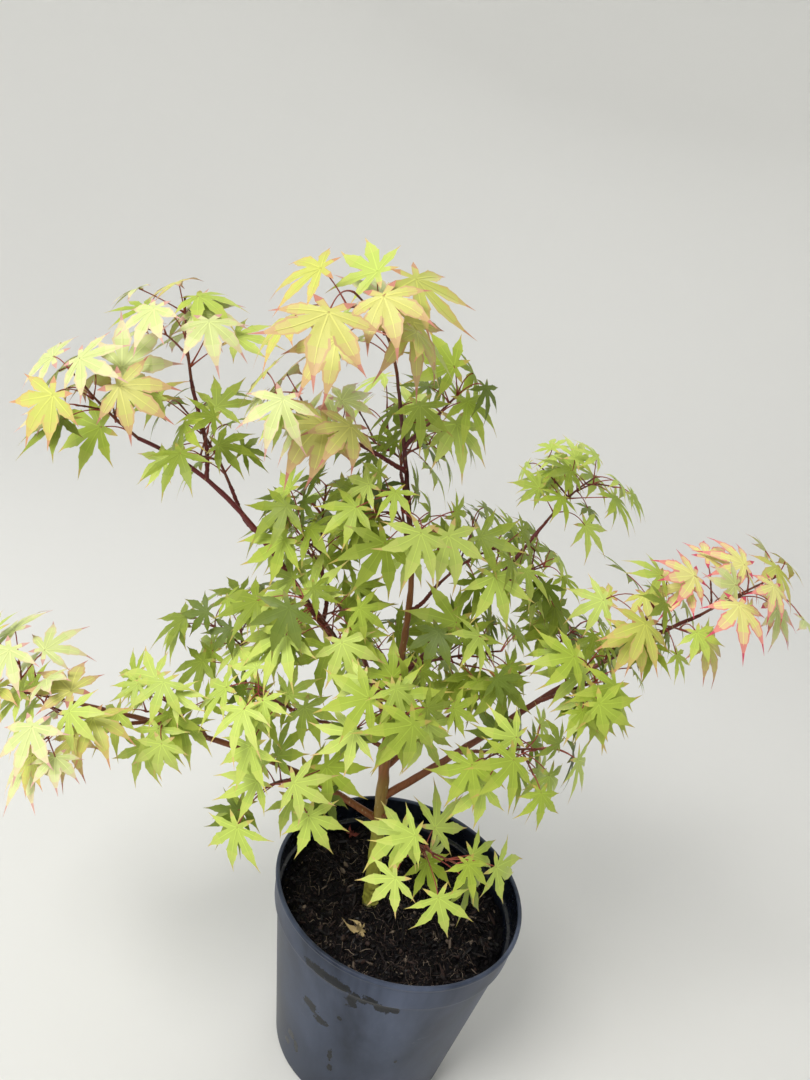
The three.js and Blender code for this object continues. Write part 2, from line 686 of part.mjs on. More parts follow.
function addPiece(name, solid, colour, roughness) {
  const material = new THREE.MeshStandardMaterial({ color: colour, roughness, metalness: 0 });
  const mesh = new THREE.Mesh(geometryFrom(solid), material);
  mesh.name = name;
  group.add(mesh);
}

addPiece("pot", solidFrom(potGeometry()), COLOURS.pot, 0.45);
addPiece("soil", solidFrom(soilGeometry()), COLOURS.soil, 0.95);
addPiece("trunk", solidFrom(limbGeometry(trunk, TRUNK_SIDES)), COLOURS.trunk, 0.7);
for (const limb of limbs.slice(1)) {
  addPiece(limb.name, solidFrom(limbGeometry(limb, BOUGH_SIDES)), COLOURS.bough, 0.6);
}
const grown = [];
MASSES.forEach((mass) => growMass(mass, limbs, grown));
for (const mass of grown) {
  addPiece("leaves_" + mass.name, massSolid(mass), COLOURS.leaves, 0.55);
}

export default group;
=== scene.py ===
import math

import bpy
import numpy as np
from mathutils import Matrix, Vector


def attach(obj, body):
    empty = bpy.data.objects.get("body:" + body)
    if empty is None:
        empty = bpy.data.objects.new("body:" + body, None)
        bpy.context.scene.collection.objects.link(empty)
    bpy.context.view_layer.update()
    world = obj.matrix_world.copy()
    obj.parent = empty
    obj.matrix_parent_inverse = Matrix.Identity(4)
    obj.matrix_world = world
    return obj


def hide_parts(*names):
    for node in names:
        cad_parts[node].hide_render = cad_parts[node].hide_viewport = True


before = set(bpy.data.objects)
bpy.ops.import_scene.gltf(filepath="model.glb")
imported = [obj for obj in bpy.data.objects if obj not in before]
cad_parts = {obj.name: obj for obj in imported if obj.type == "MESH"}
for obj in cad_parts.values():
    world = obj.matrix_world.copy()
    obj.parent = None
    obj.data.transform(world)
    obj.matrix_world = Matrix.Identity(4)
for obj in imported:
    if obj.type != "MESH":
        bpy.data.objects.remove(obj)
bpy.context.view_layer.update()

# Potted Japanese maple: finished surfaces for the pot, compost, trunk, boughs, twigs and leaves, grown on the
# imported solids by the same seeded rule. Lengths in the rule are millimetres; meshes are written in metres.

bl_info = {
    "name": "Potted maple",
    "version": (1, 0, 0),
    "blender": (4, 5, 0),
    "location": "3D View > Sidebar > Maple",
    "description": "Builds a young potted maple: pot, compost, bark, twigs and tinted leaves",
    "category": "Add Mesh",
}

MM = 0.001

# Pot and compost, as in the solids.
POT_HEIGHT = 156.0
POT_MOUTH_RADIUS = 95.0
POT_BASE_RADIUS = 70.0
POT_WALL = 1.8
POT_FLOOR = 2.5
POT_BASE_ROUND = 3.0
RIM_BAND_HEIGHT = 22.0
RIM_BAND_STEP = 2.6
RIM_BAND_TAPER = 1.2
LIP_HEIGHT = 3.0
LIP_OVERHANG = 1.1
SOIL_LEVEL = 131.0
SOIL_EDGE_FALL = 2.5
CLEARANCE = 0.3
POT_COLUMNS = 192
TRUE_WITHIN = 40

# Trunk: middle and radius from the flat cut at the soil to the tip of the leader.
TRUNK_STEPS = 18
TRUNK_STATIONS = [
    ((-18, -6, SOIL_LEVEL + CLEARANCE), 7.4),
    ((-19, -6, 137), 6.0),
    ((-21, -6, 155), 5.7),
    ((-28, -5, 215), 4.6),
    ((-37, -4, 290), 3.5),
    ((-40, -2, 345), 2.7),
    ((-46, 0, 400), 2.3),
    ((-66, -4, 474), 1.9),
    ((-82, -22, 530), 1.4),
]

# Boughs.
BOUGH_STEPS = 6
BOUGH_TIP_RADIUS = 1.2
BOUGH_LEAST = 17
BOUGH_TAPER_PER_MM = 0.0062
BOUGH_REACH = 0.36
BOUGH_SETTLE = 0.6
LIMB_MEETING_ANGLE = 0.8

# Twigs and leaf stalks.
STEM_RADIUS = 1.2
TWIG_RADIUS = 0.9
TWIG_TIP_RADIUS = 0.65
TWIG_LEAST = 17
NODE_SPACING = 20
STALK_RADIUS = 0.6
STALK_LENGTH = 22
STALK_LEAST = 10
STALK_UNDER = 0.12

# Leaf.
LEAF_LENGTH = 34
LOBE_ANGLES = np.radians([-98, -47, 0, 47, 98])
LOBE_LENGTHS = np.array([0.72, 0.95, 1, 0.95, 0.72])
LEAF_DROOP = 0.2
HANG_SPREAD = 0.28
ROLL_SPREAD = 0.3
LENGTH_SPREAD = 0.14

# Room kept between lobes, limbs, twigs, stalks and other leaves.
LIMB_ROOM = 4.6
BLADE_ROOM = 8.2
WOOD_ROOM = 2.2
TWIG_ROOM = 2.6
STALK_ROOM = 2
LEAF_ROOM = 6
TIP_REACH = 15
STEM_ROOM = 5
STEM_TRIES = 60
LEAF_TRIES = 3000
SITE_SHARE = 0.75
LEAVES_PER_NODE = 2
CHUNK = 48

# The finer growth carried on past the leaves of the solids.
FINE_TRIES = 2600
FINE_PLENTY = 1.6
FINE_PER_NODE = 3
FINE_SIZE = 0.8
FINE_ROOM = 0.45
FINE_STALK = 0.8
FINE_STRAY = 1.7
FINE_TIP_REACH = 3

CROWN_FOOT = np.array([-18.0, 0, 131])
CROWN_TIP = np.array([-92.0, 0, 560])
LIGHT_SIDE = np.array([0, -1.2, 0])
UP = np.array([0.0, 0, 1])

# Each mass: name, middle and half sizes of its space, the limb it comes from, the share of that limb's length
# where it leaves, its bough's arch, the hang of its leaves in radians, their number and size, the number of finer
# leaves grown on between them, and its tint.
MASSES = [
    ("crown_top", (-102, -46, 556), (60, 62, 44), "trunk", 1, None, 0.75, 11, 1.12, 1, "peach"),
    ("crown_left", (-130, -24, 496), (50, 52, 42), "trunk", 0.84, 0.1, 0.8, 8, 1.05, 2, "cream"),
    ("crown_right", (-50, 4, 512), (42, 54, 46), "trunk", 0.88, 0.1, 0.8, 7, 1, 3, "lime"),
    ("crown_back", (-82, 66, 478), (66, 52, 52), "trunk", 0.76, 0.1, 0.7, 8, 1, 6, "lime"),
    ("centre_high", (-62, -22, 446), (52, 54, 38), "trunk", 0.68, 0.1, 0.9, 8, 0.98, 6, "lime"),
    ("spray_left_tip", (-260, -18, 478), (52, 54, 42), "trunk", 0.43, 0.75, 0.85, 10, 1.08, 2, "cream"),
    ("spray_left_high", (-220, 14, 522), (60, 54, 38), "bough_spray_left_tip", 0.8, 0.1, 0.75, 8, 1, 2, "cream"),
    ("spray_left_low", (-196, 0, 462), (54, 54, 42), "bough_spray_left_tip", 0.62, -0.3, 0.8, 8, 1, 3, "lime"),
    ("centre_left_high", (-112, 2, 426), (50, 52, 40), "bough_spray_left_tip", 0.3, 0.2, 0.85, 7, 0.97, 6, "green"),
    ("centre_left", (-100, -30, 372), (54, 52, 44), "bough_spray_left_tip", 0.12, -0.1, 0.95, 9, 0.98, 7, "lime"),
    ("spray_right_high", (66, 122, 454), (66, 54, 42), "trunk", 0.48, -0.25, 0.75, 9, 0.9, 8, "sunlit"),
    ("spray_right_low", (40, 88, 388), (52, 52, 44), "bough_spray_right_high", 0.5, -0.1, 0.7, 7, 0.9, 6, "lime"),
    ("centre_right_high", (-8, 6, 428), (44, 50, 42), "trunk", 0.6, 0.1, 0.8, 6, 0.95, 6, "lime"),
    ("centre_right", (4, -14, 362), (48, 50, 44), "trunk", 0.5, 0.1, 0.95, 8, 0.97, 6, "green"),
    ("arm_right_tip", (178, 30, 436), (60, 54, 38), "trunk", 0.24, 0.32, 0.75, 10, 0.98, 4, "rose"),
    ("arm_right_outer", (122, 22, 406), (50, 54, 46), "bough_arm_right_tip", 0.72, 0.2, 0.75, 8, 0.98, 7, "gold"),
    ("arm_right_inner", (86, -16, 362), (48, 52, 44), "bough_arm_right_tip", 0.5, 0.1, 0.85, 7, 0.98, 6, "lime"),
    ("front_right", (46, -46, 320), (54, 52, 44), "bough_arm_right_tip", 0.22, 0.2, 1, 8, 1, 5, "lime"),
    ("front_high", (-36, -66, 340), (50, 44, 42), "trunk", 0.44, 0.2, 1, 7, 0.98, 6, "lime"),
    ("front_low", (8, -62, 240), (58, 50, 48), "trunk", 0.2, 0.5, 1.05, 9, 0.95, 1, "sunlit"),
    ("front_left", (-104, -54, 258), (54, 52, 46), "bough_arm_left_tip", 0.25, 0.1, 1, 8, 1, 4, "lime"),
    ("left_low", (-112, -52, 316), (50, 48, 42), "trunk", 0.34, 0.3, 0.95, 7, 1, 4, "lime"),
    ("left_mid", (-158, 22, 322), (54, 54, 46), "bough_arm_left_tip", 0.42, 0.3, 0.75, 8, 0.98, 7, "lime"),
    ("arm_left_inner", (-184, -34, 282), (50, 52, 44), "bough_arm_left_tip", 0.58, 0.1, 0.8, 7, 1, 5, "sunlit"),
    ("arm_left_outer", (-236, -80, 278), (48, 50, 48), "bough_arm_left_tip", 0.75, 0.1, 0.75, 7, 1.05, 3, "cream"),
    ("arm_left_tip", (-290, -52, 288), (50, 52, 44), "trunk", 0.19, 0.3, 0.8, 8, 1.05, 2, "cream"),
    ("back_left", (-130, 116, 362), (62, 56, 56), "trunk", 0.38, 0.3, 0.7, 9, 1, 7, "lime"),
    ("back_right", (92, 112, 330), (56, 56, 46), "trunk", 0.3, 0.2, 0.75, 7, 0.97, 7, "green"),
    ("back_low", (-36, 110, 276), (60, 56, 52), "trunk", 0.26, 0.2, 0.8, 8, 1, 7, "green"),
]
MASS_KEYS = ("name", "middle", "half", "from", "share", "arch", "hang", "leaves", "size", "fine", "tint")


# Vectors and seeded draws.

def random_stream(seed):
    """A seeded stream of numbers from 0 to 1, the same as in the solids' rule."""
    state = (seed * 48271 + 11) % 2147483647

    def following():
        nonlocal state
        state = (state * 16807) % 2147483647
        return state / 2147483647

    following()
    following()
    return following


def unit(vectors):
    """Each vector divided by its own length."""
    return vectors / np.maximum(np.linalg.norm(vectors, axis=-1, keepdims=True), 1e-12)


def level(vectors):
    """Each vector laid flat on the ground and given unit length."""
    flat = vectors * np.array([1.0, 1, 0])
    return unit(flat)


def dot(a, b):
    """Scalar product of each pair of vectors."""
    return np.sum(a * b, axis=-1)


def segment_distance(a0, a1, b0, b1):
    """Least distance between straight pieces a and b, broadcast over arrays of their ends."""
    u = a1 - a0
    v = b1 - b0
    w = a0 - b0
    uu = dot(u, u)
    uv = dot(u, v)
    vv = dot(v, v)
    uw = dot(u, w)
    vw = dot(v, w)
    det = uu * vv - uv * uv
    with np.errstate(divide="ignore", invalid="ignore"):
        s = np.where(det > 1e-9, np.clip((uv * vw - vv * uw) / det, 0, 1), 0)
        t = np.clip((uv * s + vw) / vv, 0, 1)
        s = np.clip((uv * t - uw) / uu, 0, 1)
    return np.linalg.norm(w + u * s[..., None] - v * t[..., None], axis=-1)


# Limbs.

def spline(stations):
    """Centripetal curve through the stations, as a function of an array of parameters from 0 to 1."""
    points = [2 * stations[0] - stations[1], *stations, 2 * stations[-1] - stations[-2]]
    points = np.array(points)
    gaps = np.sum(np.diff(points, axis=0) ** 2, axis=1) ** 0.25

    def at(parameters):
        place = np.asarray(parameters, float) * (len(stations) - 1)
        i = np.minimum(np.floor(place).astype(int), len(stations) - 2)
        t = (place - i)[:, None]
        x0, x1, x2, x3 = points[i], points[i + 1], points[i + 2], points[i + 3]
        d0, d1, d2 = gaps[i, None], gaps[i + 1, None], gaps[i + 2, None]
        t1 = ((x1 - x0) / d0 - (x2 - x0) / (d0 + d1) + (x2 - x1) / d1) * d1
        t2 = ((x2 - x1) / d1 - (x3 - x1) / (d1 + d2) + (x3 - x2) / d2) * d1
        c2 = -3 * x1 + 3 * x2 - 2 * t1 - t2
        c3 = 2 * x1 - 2 * x2 + t1 + t2
        return x1 + t1 * t + c2 * t ** 2 + c3 * t ** 3

    return at


def bezier(*controls):
    """Curve drawn by its control points, as a function of an array of parameters from 0 to 1: the sum of the points,
    each by its share of the binomial of (1 - t) + t."""
    degree = len(controls) - 1

    def at(parameters):
        t = np.asarray(parameters, float)[:, None]
        return sum(
            math.comb(degree, k) * (1 - t) ** (degree - k) * t ** k * control
            for k, control in enumerate(controls)
        )

    return at


def limb_along(name, curve, steps, radius_at):
    """A limb as evenly spaced stations of its curve, kept with the curve and its radius."""
    t = np.arange(steps + 1) / steps
    return {
        "name": name,
        "points": curve(t),
        "radii": radius_at(t),
        "curve": curve,
        "radius_at": radius_at,
    }


def station_of(limb, share):
    """The place, direction and radius of a limb at a share of its length."""
    points, radii = limb["points"], limb["radii"]
    lengths = np.concatenate([[0], np.cumsum(np.linalg.norm(np.diff(points, axis=0), axis=1))])
    wanted = share * lengths[-1]
    i = 1
    while i < len(lengths) - 1 and lengths[i] < wanted:
        i += 1
    part = (wanted - lengths[i - 1]) / (lengths[i] - lengths[i - 1])
    return {
        "point": points[i - 1] + (points[i] - points[i - 1]) * part,
        "along": unit(points[i] - points[i - 1]),
        "radius": radii[i - 1] + (radii[i] - radii[i - 1]) * part,
    }


def pieces_of(points, radii):
    """Straight pieces between following points: both ends and the larger radius."""
    points = np.asarray(points)
    radii = np.asarray(radii, float)
    return points[:-1], points[1:], np.maximum(radii[:-1], radii[1:])


def make_trunk():
    """The trunk's curve, with its radius straight between the stations."""
    stations = np.array([place for place, _ in TRUNK_STATIONS], float)
    radii = np.array([radius for _, radius in TRUNK_STATIONS])
    last = len(stations) - 1

    def radius_at(t):
        return np.interp(np.asarray(t) * last, np.arange(last + 1), radii)

    return limb_along("trunk", spline(stations), TRUNK_STEPS, radius_at)


def make_bough(mass, parent):
    """A bough leaves its parent clear of the bark, arches up and settles towards its mass."""
    station = station_of(parent, mass["share"])
    point, along, radius = station["point"], station["along"], station["radius"]
    toward = unit((point - mass["middle"]) / mass["half"]) * mass["half"]
    share = 0.8
    end = mass["middle"].copy()
    while share > 0.1:
        entry = mass["middle"] + toward * share
        if np.linalg.norm(entry - point) > BOUGH_LEAST:
            end = entry
            break
        share -= 0.05
    span = np.linalg.norm(end - point)
    straight = unit(end - point)
    wish = unit(straight + UP * mass["arch"])
    thickness = min(BOUGH_TIP_RADIUS + BOUGH_TAPER_PER_MM * span, 0.85 * radius)
    away = unit(wish - along * dot(wish, along))
    lean = min(max(dot(wish, along), -0.2), math.sqrt(1 - LIMB_MEETING_ANGLE ** 2))
    sine = math.sqrt(1 - lean * lean)
    direction = away * sine + along * lean
    start = point + direction * ((radius + CLEARANCE + thickness * abs(lean)) / sine)
    arrival = unit(straight - UP * BOUGH_SETTLE * mass["arch"])
    curve = bezier(start, start + direction * span * BOUGH_REACH, end - arrival * span * BOUGH_REACH, end)
    tip = min(BOUGH_TIP_RADIUS, thickness)

    def radius_at(t):
        return thickness + (tip - thickness) * np.asarray(t)

    bough = limb_along("bough_" + mass["name"], curve, BOUGH_STEPS, radius_at)
    bough["root"] = point
    return bough


# Leaves and twigs of a mass.

class Obstacles:
    """Straight pieces with radii, kept as arrays of their two ends and their radius."""

    def __init__(self):
        self.start = np.zeros((0, 3))
        self.end = np.zeros((0, 3))
        self.radius = np.zeros(0)

    def add(self, start, end, radius):
        self.start = np.concatenate([self.start, np.reshape(start, (-1, 3))])
        self.end = np.concatenate([self.end, np.reshape(end, (-1, 3))])
        self.radius = np.concatenate([self.radius, np.reshape(radius, -1)])

    def clear(self, a0, a1, room, near=None, reach=None):
        """For each row of pieces a, whether every one keeps its room from every obstacle. With near and
        reach, obstacles beyond that reach of the row's place aren't asked."""
        if not len(self.radius):
            return np.ones(len(a0), bool)
        far = segment_distance(
            a0[:, :, None], a1[:, :, None], self.start[None, None], self.end[None, None]
        ) > room + self.radius
        if near is not None:
            middle = (self.start + self.end) / 2
            length = np.linalg.norm(self.end - self.start, axis=1)
            beyond = np.linalg.norm(near[:, None] - middle[None], axis=2) >= reach[:, None] + 0.5 * length
            far |= beyond[:, None, :]
        return far.all(axis=(1, 2))


def room_inside(mass, points):
    """How far points lie inside the rounded space of a mass."""
    reach = np.linalg.norm((points - mass["middle"]) / mass["half"], axis=-1)
    return (1 - reach) * mass["half"].min()


def grow_stem(mass, start, direction, others, blades, following):
    """The stem carries on from its bough through the middle of its space: the longest way that stays clear."""
    best = None
    for attempt in range(STEM_TRIES):
        stray = np.array([2 * following() - 1 for _ in range(3)])
        far = mass["middle"] * 1.5 - start * 0.5 + stray * mass["half"] * (0.1 + 0.03 * attempt)
        reach = np.linalg.norm(far - start)
        steps = max(2, math.floor(reach / NODE_SPACING + 0.5))
        places = bezier(start, start + direction * 0.4 * reach, far)(np.arange(steps + 1) / steps)
        points = [start]
        for point in places[1:]:
            a0 = (points[-1] + (point - points[-1]) * 0.15)[None, None]
            a1 = point[None, None]
            if room_inside(mass, point) < STEM_ROOM or not others.clear(a0, a1, WOOD_ROOM + 1)[0]:
                break
            if not blades.clear(a0, a1, LIMB_ROOM + 1)[0]:
                break
            points.append(point)
        if len(points) > 1 and (best is None or len(points) > len(best)):
            best = points
        if best is not None and len(best) == steps + 1:
            break
    return np.array(best)


def facing_at(mass, hubs):
    """Which way leaves face: outwards from the crown's middle line and from their own mass, and to the light."""
    rise = (hubs[:, 2:] - CROWN_FOOT[2]) / (CROWN_TIP[2] - CROWN_FOOT[2])
    axis = CROWN_FOOT + (CROWN_TIP - CROWN_FOOT) * rise
    return level(level(hubs - axis) + level(hubs - mass["middle"]) + LIGHT_SIDE)


def place_leaves(mass, hubs, roots, draws, size):
    """Frames of leaves at their hubs: normal, forward and side directions and length."""
    facing = facing_at(mass, hubs)
    across = np.stack([-facing[:, 1], facing[:, 0], np.zeros(len(facing))], axis=1)
    hang = (mass["hang"] + HANG_SPREAD * draws[:, 0])[:, None]
    normal = UP * np.cos(hang) + facing * np.sin(hang) + across * ROLL_SPREAD * draws[:, 1:2]
    normal = unit(normal)
    wish = unit(hubs - roots) + facing * 0.35 - UP * 0.45 + across * 0.3 * draws[:, 2:3]
    forward = unit(wish - normal * dot(wish, normal)[:, None])
    side = np.cross(normal, forward)
    length = LEAF_LENGTH * mass["size"] * size * (1 + LENGTH_SPREAD * draws[:, 3])
    return normal, forward, side, length


def lobe_tips(hubs, normal, forward, side, length):
    """Ends of the five long lobes, which droop with the square of the distance from the hub."""
    along = np.cos(LOBE_ANGLES) * LOBE_LENGTHS
    beside = np.sin(LOBE_ANGLES) * LOBE_LENGTHS
    fall = -LEAF_DROOP * LOBE_LENGTHS ** 2
    shift = (
        forward[:, None] * along[None, :, None]
        + side[:, None] * beside[None, :, None]
        + normal[:, None] * fall[None, :, None]
    )
    return hubs[:, None] + shift * length[:, None, None]


def grow_mass(mass, limbs, grown):
    """Deals leaves out through a mass by seeded draws: each on a stalk from the nearest node of its shoots, with a
    side twig where it is out of a stalk's reach, then finer leaves in the room that is left."""
    parent_name = mass["from"] if mass["arch"] is None else "bough_" + mass["name"]
    parent = limbs[parent_name]
    station = station_of(parent, 1)
    others = Obstacles()
    for limb in limbs.values():
        if limb is not parent:
            others.add(*pieces_of(limb["points"], limb["radii"]))
    blades = Obstacles()
    for other in grown:
        others.add(*other["rule_wood"])
        blades.add(*other["rule_blades"])
    following = random_stream(mass["seed"])
    start = station["point"] + station["along"] * CLEARANCE
    stem = grow_stem(mass, start, station["along"], others, blades, following)
    others.add(*pieces_of(parent["points"], parent["radii"]))
    shoots = [(stem, np.linspace(STEM_RADIUS, TWIG_TIP_RADIUS, len(stem)))]
    wood = Obstacles()
    wood.add(*pieces_of(*shoots[0]))
    nodes = {"point": [], "along": [], "used": []}

    def add_nodes(points):
        for i in range(1, len(points)):
            along = unit(points[i] - points[i - 1])
            for point in ((points[i - 1] + points[i]) / 2, points[i]):
                nodes["point"].append(point)
                nodes["along"].append(along)
                nodes["used"].append(0)

    add_nodes(stem)
    own = Obstacles()
    leaves = []

    def deal(wanted, tries, per_node, size, room, stalk_share, stray, tip_reach):
        draws = np.array([[2 * following() - 1 for _ in range(9)] for _ in range(tries)])
        draws[:, :4] *= stray
        way = draws[:, 4:7]
        draws = draws[np.linalg.norm(way, axis=1) <= 1]
        hubs = mass["middle"] + draws[:, 4:7] * mass["half"] * SITE_SHARE
        at = 0
        while at < len(draws) and wanted > 0:
            chunk = hubs[at:at + CHUNK], draws[at:at + CHUNK]
            taken = try_leaves(*chunk, per_node, size, room, stalk_share, tip_reach)
            at += CHUNK if taken is None else taken + 1
            wanted -= taken is not None

    def try_leaves(hub, draw, per_node, size, room, stalk_share, tip_reach):
        """Adds the first leaf of this run of tries that finds room and returns its place in the run."""
        points = np.array(nodes["point"])
        span = hub[:, None] - points[None]
        distance = np.linalg.norm(span, axis=2)
        cost = distance * (1.3 - 0.5 * dot(span, np.array(nodes["along"])[None]) / np.maximum(distance, 1e-9))
        cost[(distance <= STALK_LEAST * stalk_share)] = np.inf
        cost[:, np.array(nodes["used"]) >= per_node] = np.inf
        node = cost.argmin(axis=1)
        rows = np.arange(len(hub))
        good = np.isfinite(cost[rows, node])
        root = points[node]
        normal, forward, side, length = place_leaves(mass, hub, root, draw, size)
        good &= dot(unit(root - hub), normal) <= -STALK_UNDER
        tips = lobe_tips(hub, normal, forward, side, length)
        good &= (room_inside(mass, tips) >= -tip_reach).all(axis=1)
        good &= room_inside(mass, hub) >= -tip_reach
        kept = rows[good]
        if not len(kept):
            return None
        hub, draw, node, root = hub[kept], draw[kept], node[kept], root[kept]
        normal, forward, side = normal[kept], forward[kept], side[kept]
        length, tips = length[kept], tips[kept]
        a0 = np.repeat(hub[:, None], tips.shape[1], axis=1)
        reach = length * 1.1 + 10
        good = others.clear(a0, tips, LIMB_ROOM * room, hub, reach)
        good &= blades.clear(a0, tips, BLADE_ROOM * room, hub, reach)
        good &= own.clear(a0, tips, LEAF_ROOM * room, hub, reach)
        good &= wood.clear(a0, tips, TWIG_ROOM * room)
        for i in np.nonzero(good)[0]:
            span = np.linalg.norm(hub[i] - root[i])
            stalk = STALK_LENGTH * stalk_share * (1 + 0.3 * draw[i, 7])
            base = root[i]
            twig = None
            if span > stalk + TWIG_LEAST * stalk_share:
                base = root[i] + (hub[i] - root[i]) * (1 - stalk / span)
                base = base + UP * 0.06 * span * (1 + draw[i, 8])
                twig = np.array([root[i], base])
                if room_inside(mass, base) < STEM_ROOM:
                    continue
                if dot(unit(base - hub[i]), normal[i]) > -STALK_UNDER:
                    continue
            starts, ends, radii = [base], [hub[i]], [STALK_RADIUS]
            if twig is not None:
                starts.append(twig[0])
                ends.append(twig[1])
                radii.append(TWIG_RADIUS)
            starts, ends = np.array(starts)[None], np.array(ends)[None]
            if not others.clear(starts, ends, WOOD_ROOM * room)[0]:
                continue
            if not blades.clear(starts, ends, LIMB_ROOM * room)[0]:
                continue
            if not own.clear(starts + (ends - starts) * 0.1, ends, STALK_ROOM * room)[0]:
                continue
            nodes["used"][node[i]] += 1
            if twig is not None:
                shoots.append((twig, np.array([TWIG_RADIUS, TWIG_TIP_RADIUS]) * (0.6 + 0.4 * size)))
                add_nodes(twig)
                nodes["used"][-1] += 1
            wood.add(starts[0], ends[0], radii)
            own.add(a0[i], tips[i], np.zeros(tips.shape[1]))
            leaves.append({
                "hub": hub[i],
                "root": base,
                "normal": normal[i],
                "forward": forward[i],
                "side": side[i],
                "length": length[i],
                "fine": size < 1,
                "tint": mass["tint"],
            })
            return int(kept[i])
        return None

    deal(mass["leaves"], LEAF_TRIES, LEAVES_PER_NODE, 1, 1, 1, 1, TIP_REACH)
    rule_wood = (wood.start, wood.end, wood.radius)
    rule_blades = (own.start, own.end, own.radius)
    fine = FINE_TRIES, FINE_PER_NODE, FINE_SIZE, FINE_ROOM, FINE_STALK, FINE_STRAY, FINE_TIP_REACH
    deal(round(mass["fine"] * FINE_PLENTY), *fine)
    grown.append({
        "name": mass["name"],
        "shoots": shoots,
        "leaves": leaves,
        "rule_wood": rule_wood,
        "rule_blades": rule_blades,
    })


def grow_plant():
    """The whole plant: trunk and boughs as limbs, and the grown masses."""
    masses = []
    for index, row in enumerate(MASSES):
        mass = dict(zip(MASS_KEYS, row))
        mass["middle"] = np.array(mass["middle"], float)
        mass["half"] = np.array(mass["half"], float)
        mass["seed"] = 101 + 17 * index
        masses.append(mass)
    limbs = {"trunk": make_trunk()}
    bearing = [mass for mass in masses if mass["arch"] is not None]
    for mass in sorted(bearing, key=lambda each: each["from"] != "trunk"):
        limbs["bough_" + mass["name"]] = make_bough(mass, limbs[mass["from"]])
    grown = []
    for mass in masses:
        grow_mass(mass, limbs, grown)
    return limbs, grown


# Meshes.

def srgb(red, green, blue):
    """A colour of eight-bit screen values as linear light."""
    parts = np.array([red, green, blue]) / 255
    linear = np.where(parts <= 0.04045, parts / 12.92, ((parts + 0.055) / 1.055) ** 2.4)
    return tuple(float(part) for part in linear)


def build_mesh(name, vertices, faces, materials, slots=None, smooth=True):
    """A mesh object from vertices in millimetres and a list of face arrays of one corner count each, in metres at the
    origin. slots holds one material number per face, in the same order as the faces."""
    vertices = np.asarray(vertices, float).reshape(-1, 3) * MM
    faces = [np.asarray(group, np.int32) for group in faces if len(group)]
    mesh = bpy.data.meshes.new(name)
    counts = np.concatenate([np.full(len(group), group.shape[1], np.int32) for group in faces])
    corners = np.concatenate([group.ravel() for group in faces])
    mesh.vertices.add(len(vertices))
    mesh.vertices.foreach_set("co", vertices.ravel().astype(np.float32))
    mesh.loops.add(len(corners))
    mesh.loops.foreach_set("vertex_index", corners)
    mesh.polygons.add(len(counts))
    mesh.polygons.foreach_set("loop_start", (np.cumsum(counts) - counts).astype(np.int32))
    mesh.polygons.foreach_set("use_smooth", np.full(len(counts), smooth))
    for material in materials:
        mesh.materials.append(material)
    if slots is not None:
        mesh.polygons.foreach_set("material_index", np.asarray(slots, np.int32))
    mesh.update(calc_edges=True)
    mesh.validate()
    piece = bpy.data.objects.new(name, mesh)
    bpy.context.scene.collection.objects.link(piece)
    return piece


def finish_piece(piece, slot, *nodes):
    """Makes a piece move with the one body and hides the imported solids that it replaces. slot, what the piece stands
    for, is not used.
    """
    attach(piece, "root")
    if nodes:
        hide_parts(*nodes)


def grid_faces(rows, columns, first=0):
    """Quads of a grid of rows of points round a closed ring of columns."""
    i = np.arange(rows - 1)[:, None]
    j = np.arange(columns)[None]
    following = (j + 1) % columns
    quads = np.stack(
        [i * columns + j, i * columns + following, (i + 1) * columns + following, (i + 1) * columns + j], axis=-1
    )
    return quads.reshape(-1, 4) + first


def cap_faces(rows, columns):
    """Triangles that close such a grid with two poles, whose points follow the grid's: one before its first row and
    one past its last."""
    j = np.arange(columns)
    following = (j + 1) % columns
    low = np.full(columns, rows * columns)
    last = (rows - 1) * columns
    return np.concatenate([
        np.stack([low, following, j], axis=1),
        np.stack([low + 1, last + j, last + following], axis=1),
    ])


def turned(profile, columns, offset=None):
    """A turned shape: each profile point (radius, height) carried round the Z axis, with a pole at both ends. offset
    is a function of angle, radius and height that adds to radius and height. The profile runs from the middle of the
    underside, out, up and back in to the axis, so the faces point outwards."""
    profile = np.asarray(profile, float)
    inner = profile[1:-1]
    angle = np.arange(columns) * 2 * np.pi / columns
    radius = np.repeat(inner[:, :1], columns, axis=1)
    height = np.repeat(inner[:, 1:], columns, axis=1)
    if offset is not None:
        more_radius, more_height = offset(angle[None], radius, height)
        radius = radius + more_radius
        height = height + more_height
    ring = np.stack([radius * np.cos(angle), radius * np.sin(angle), height], axis=-1)
    rows = len(inner)
    vertices = np.concatenate([ring.reshape(-1, 3), [[0, 0, profile[0, 1]], [0, 0, profile[-1, 1]]]])
    return vertices, [grid_faces(rows, columns), cap_faces(rows, columns)]


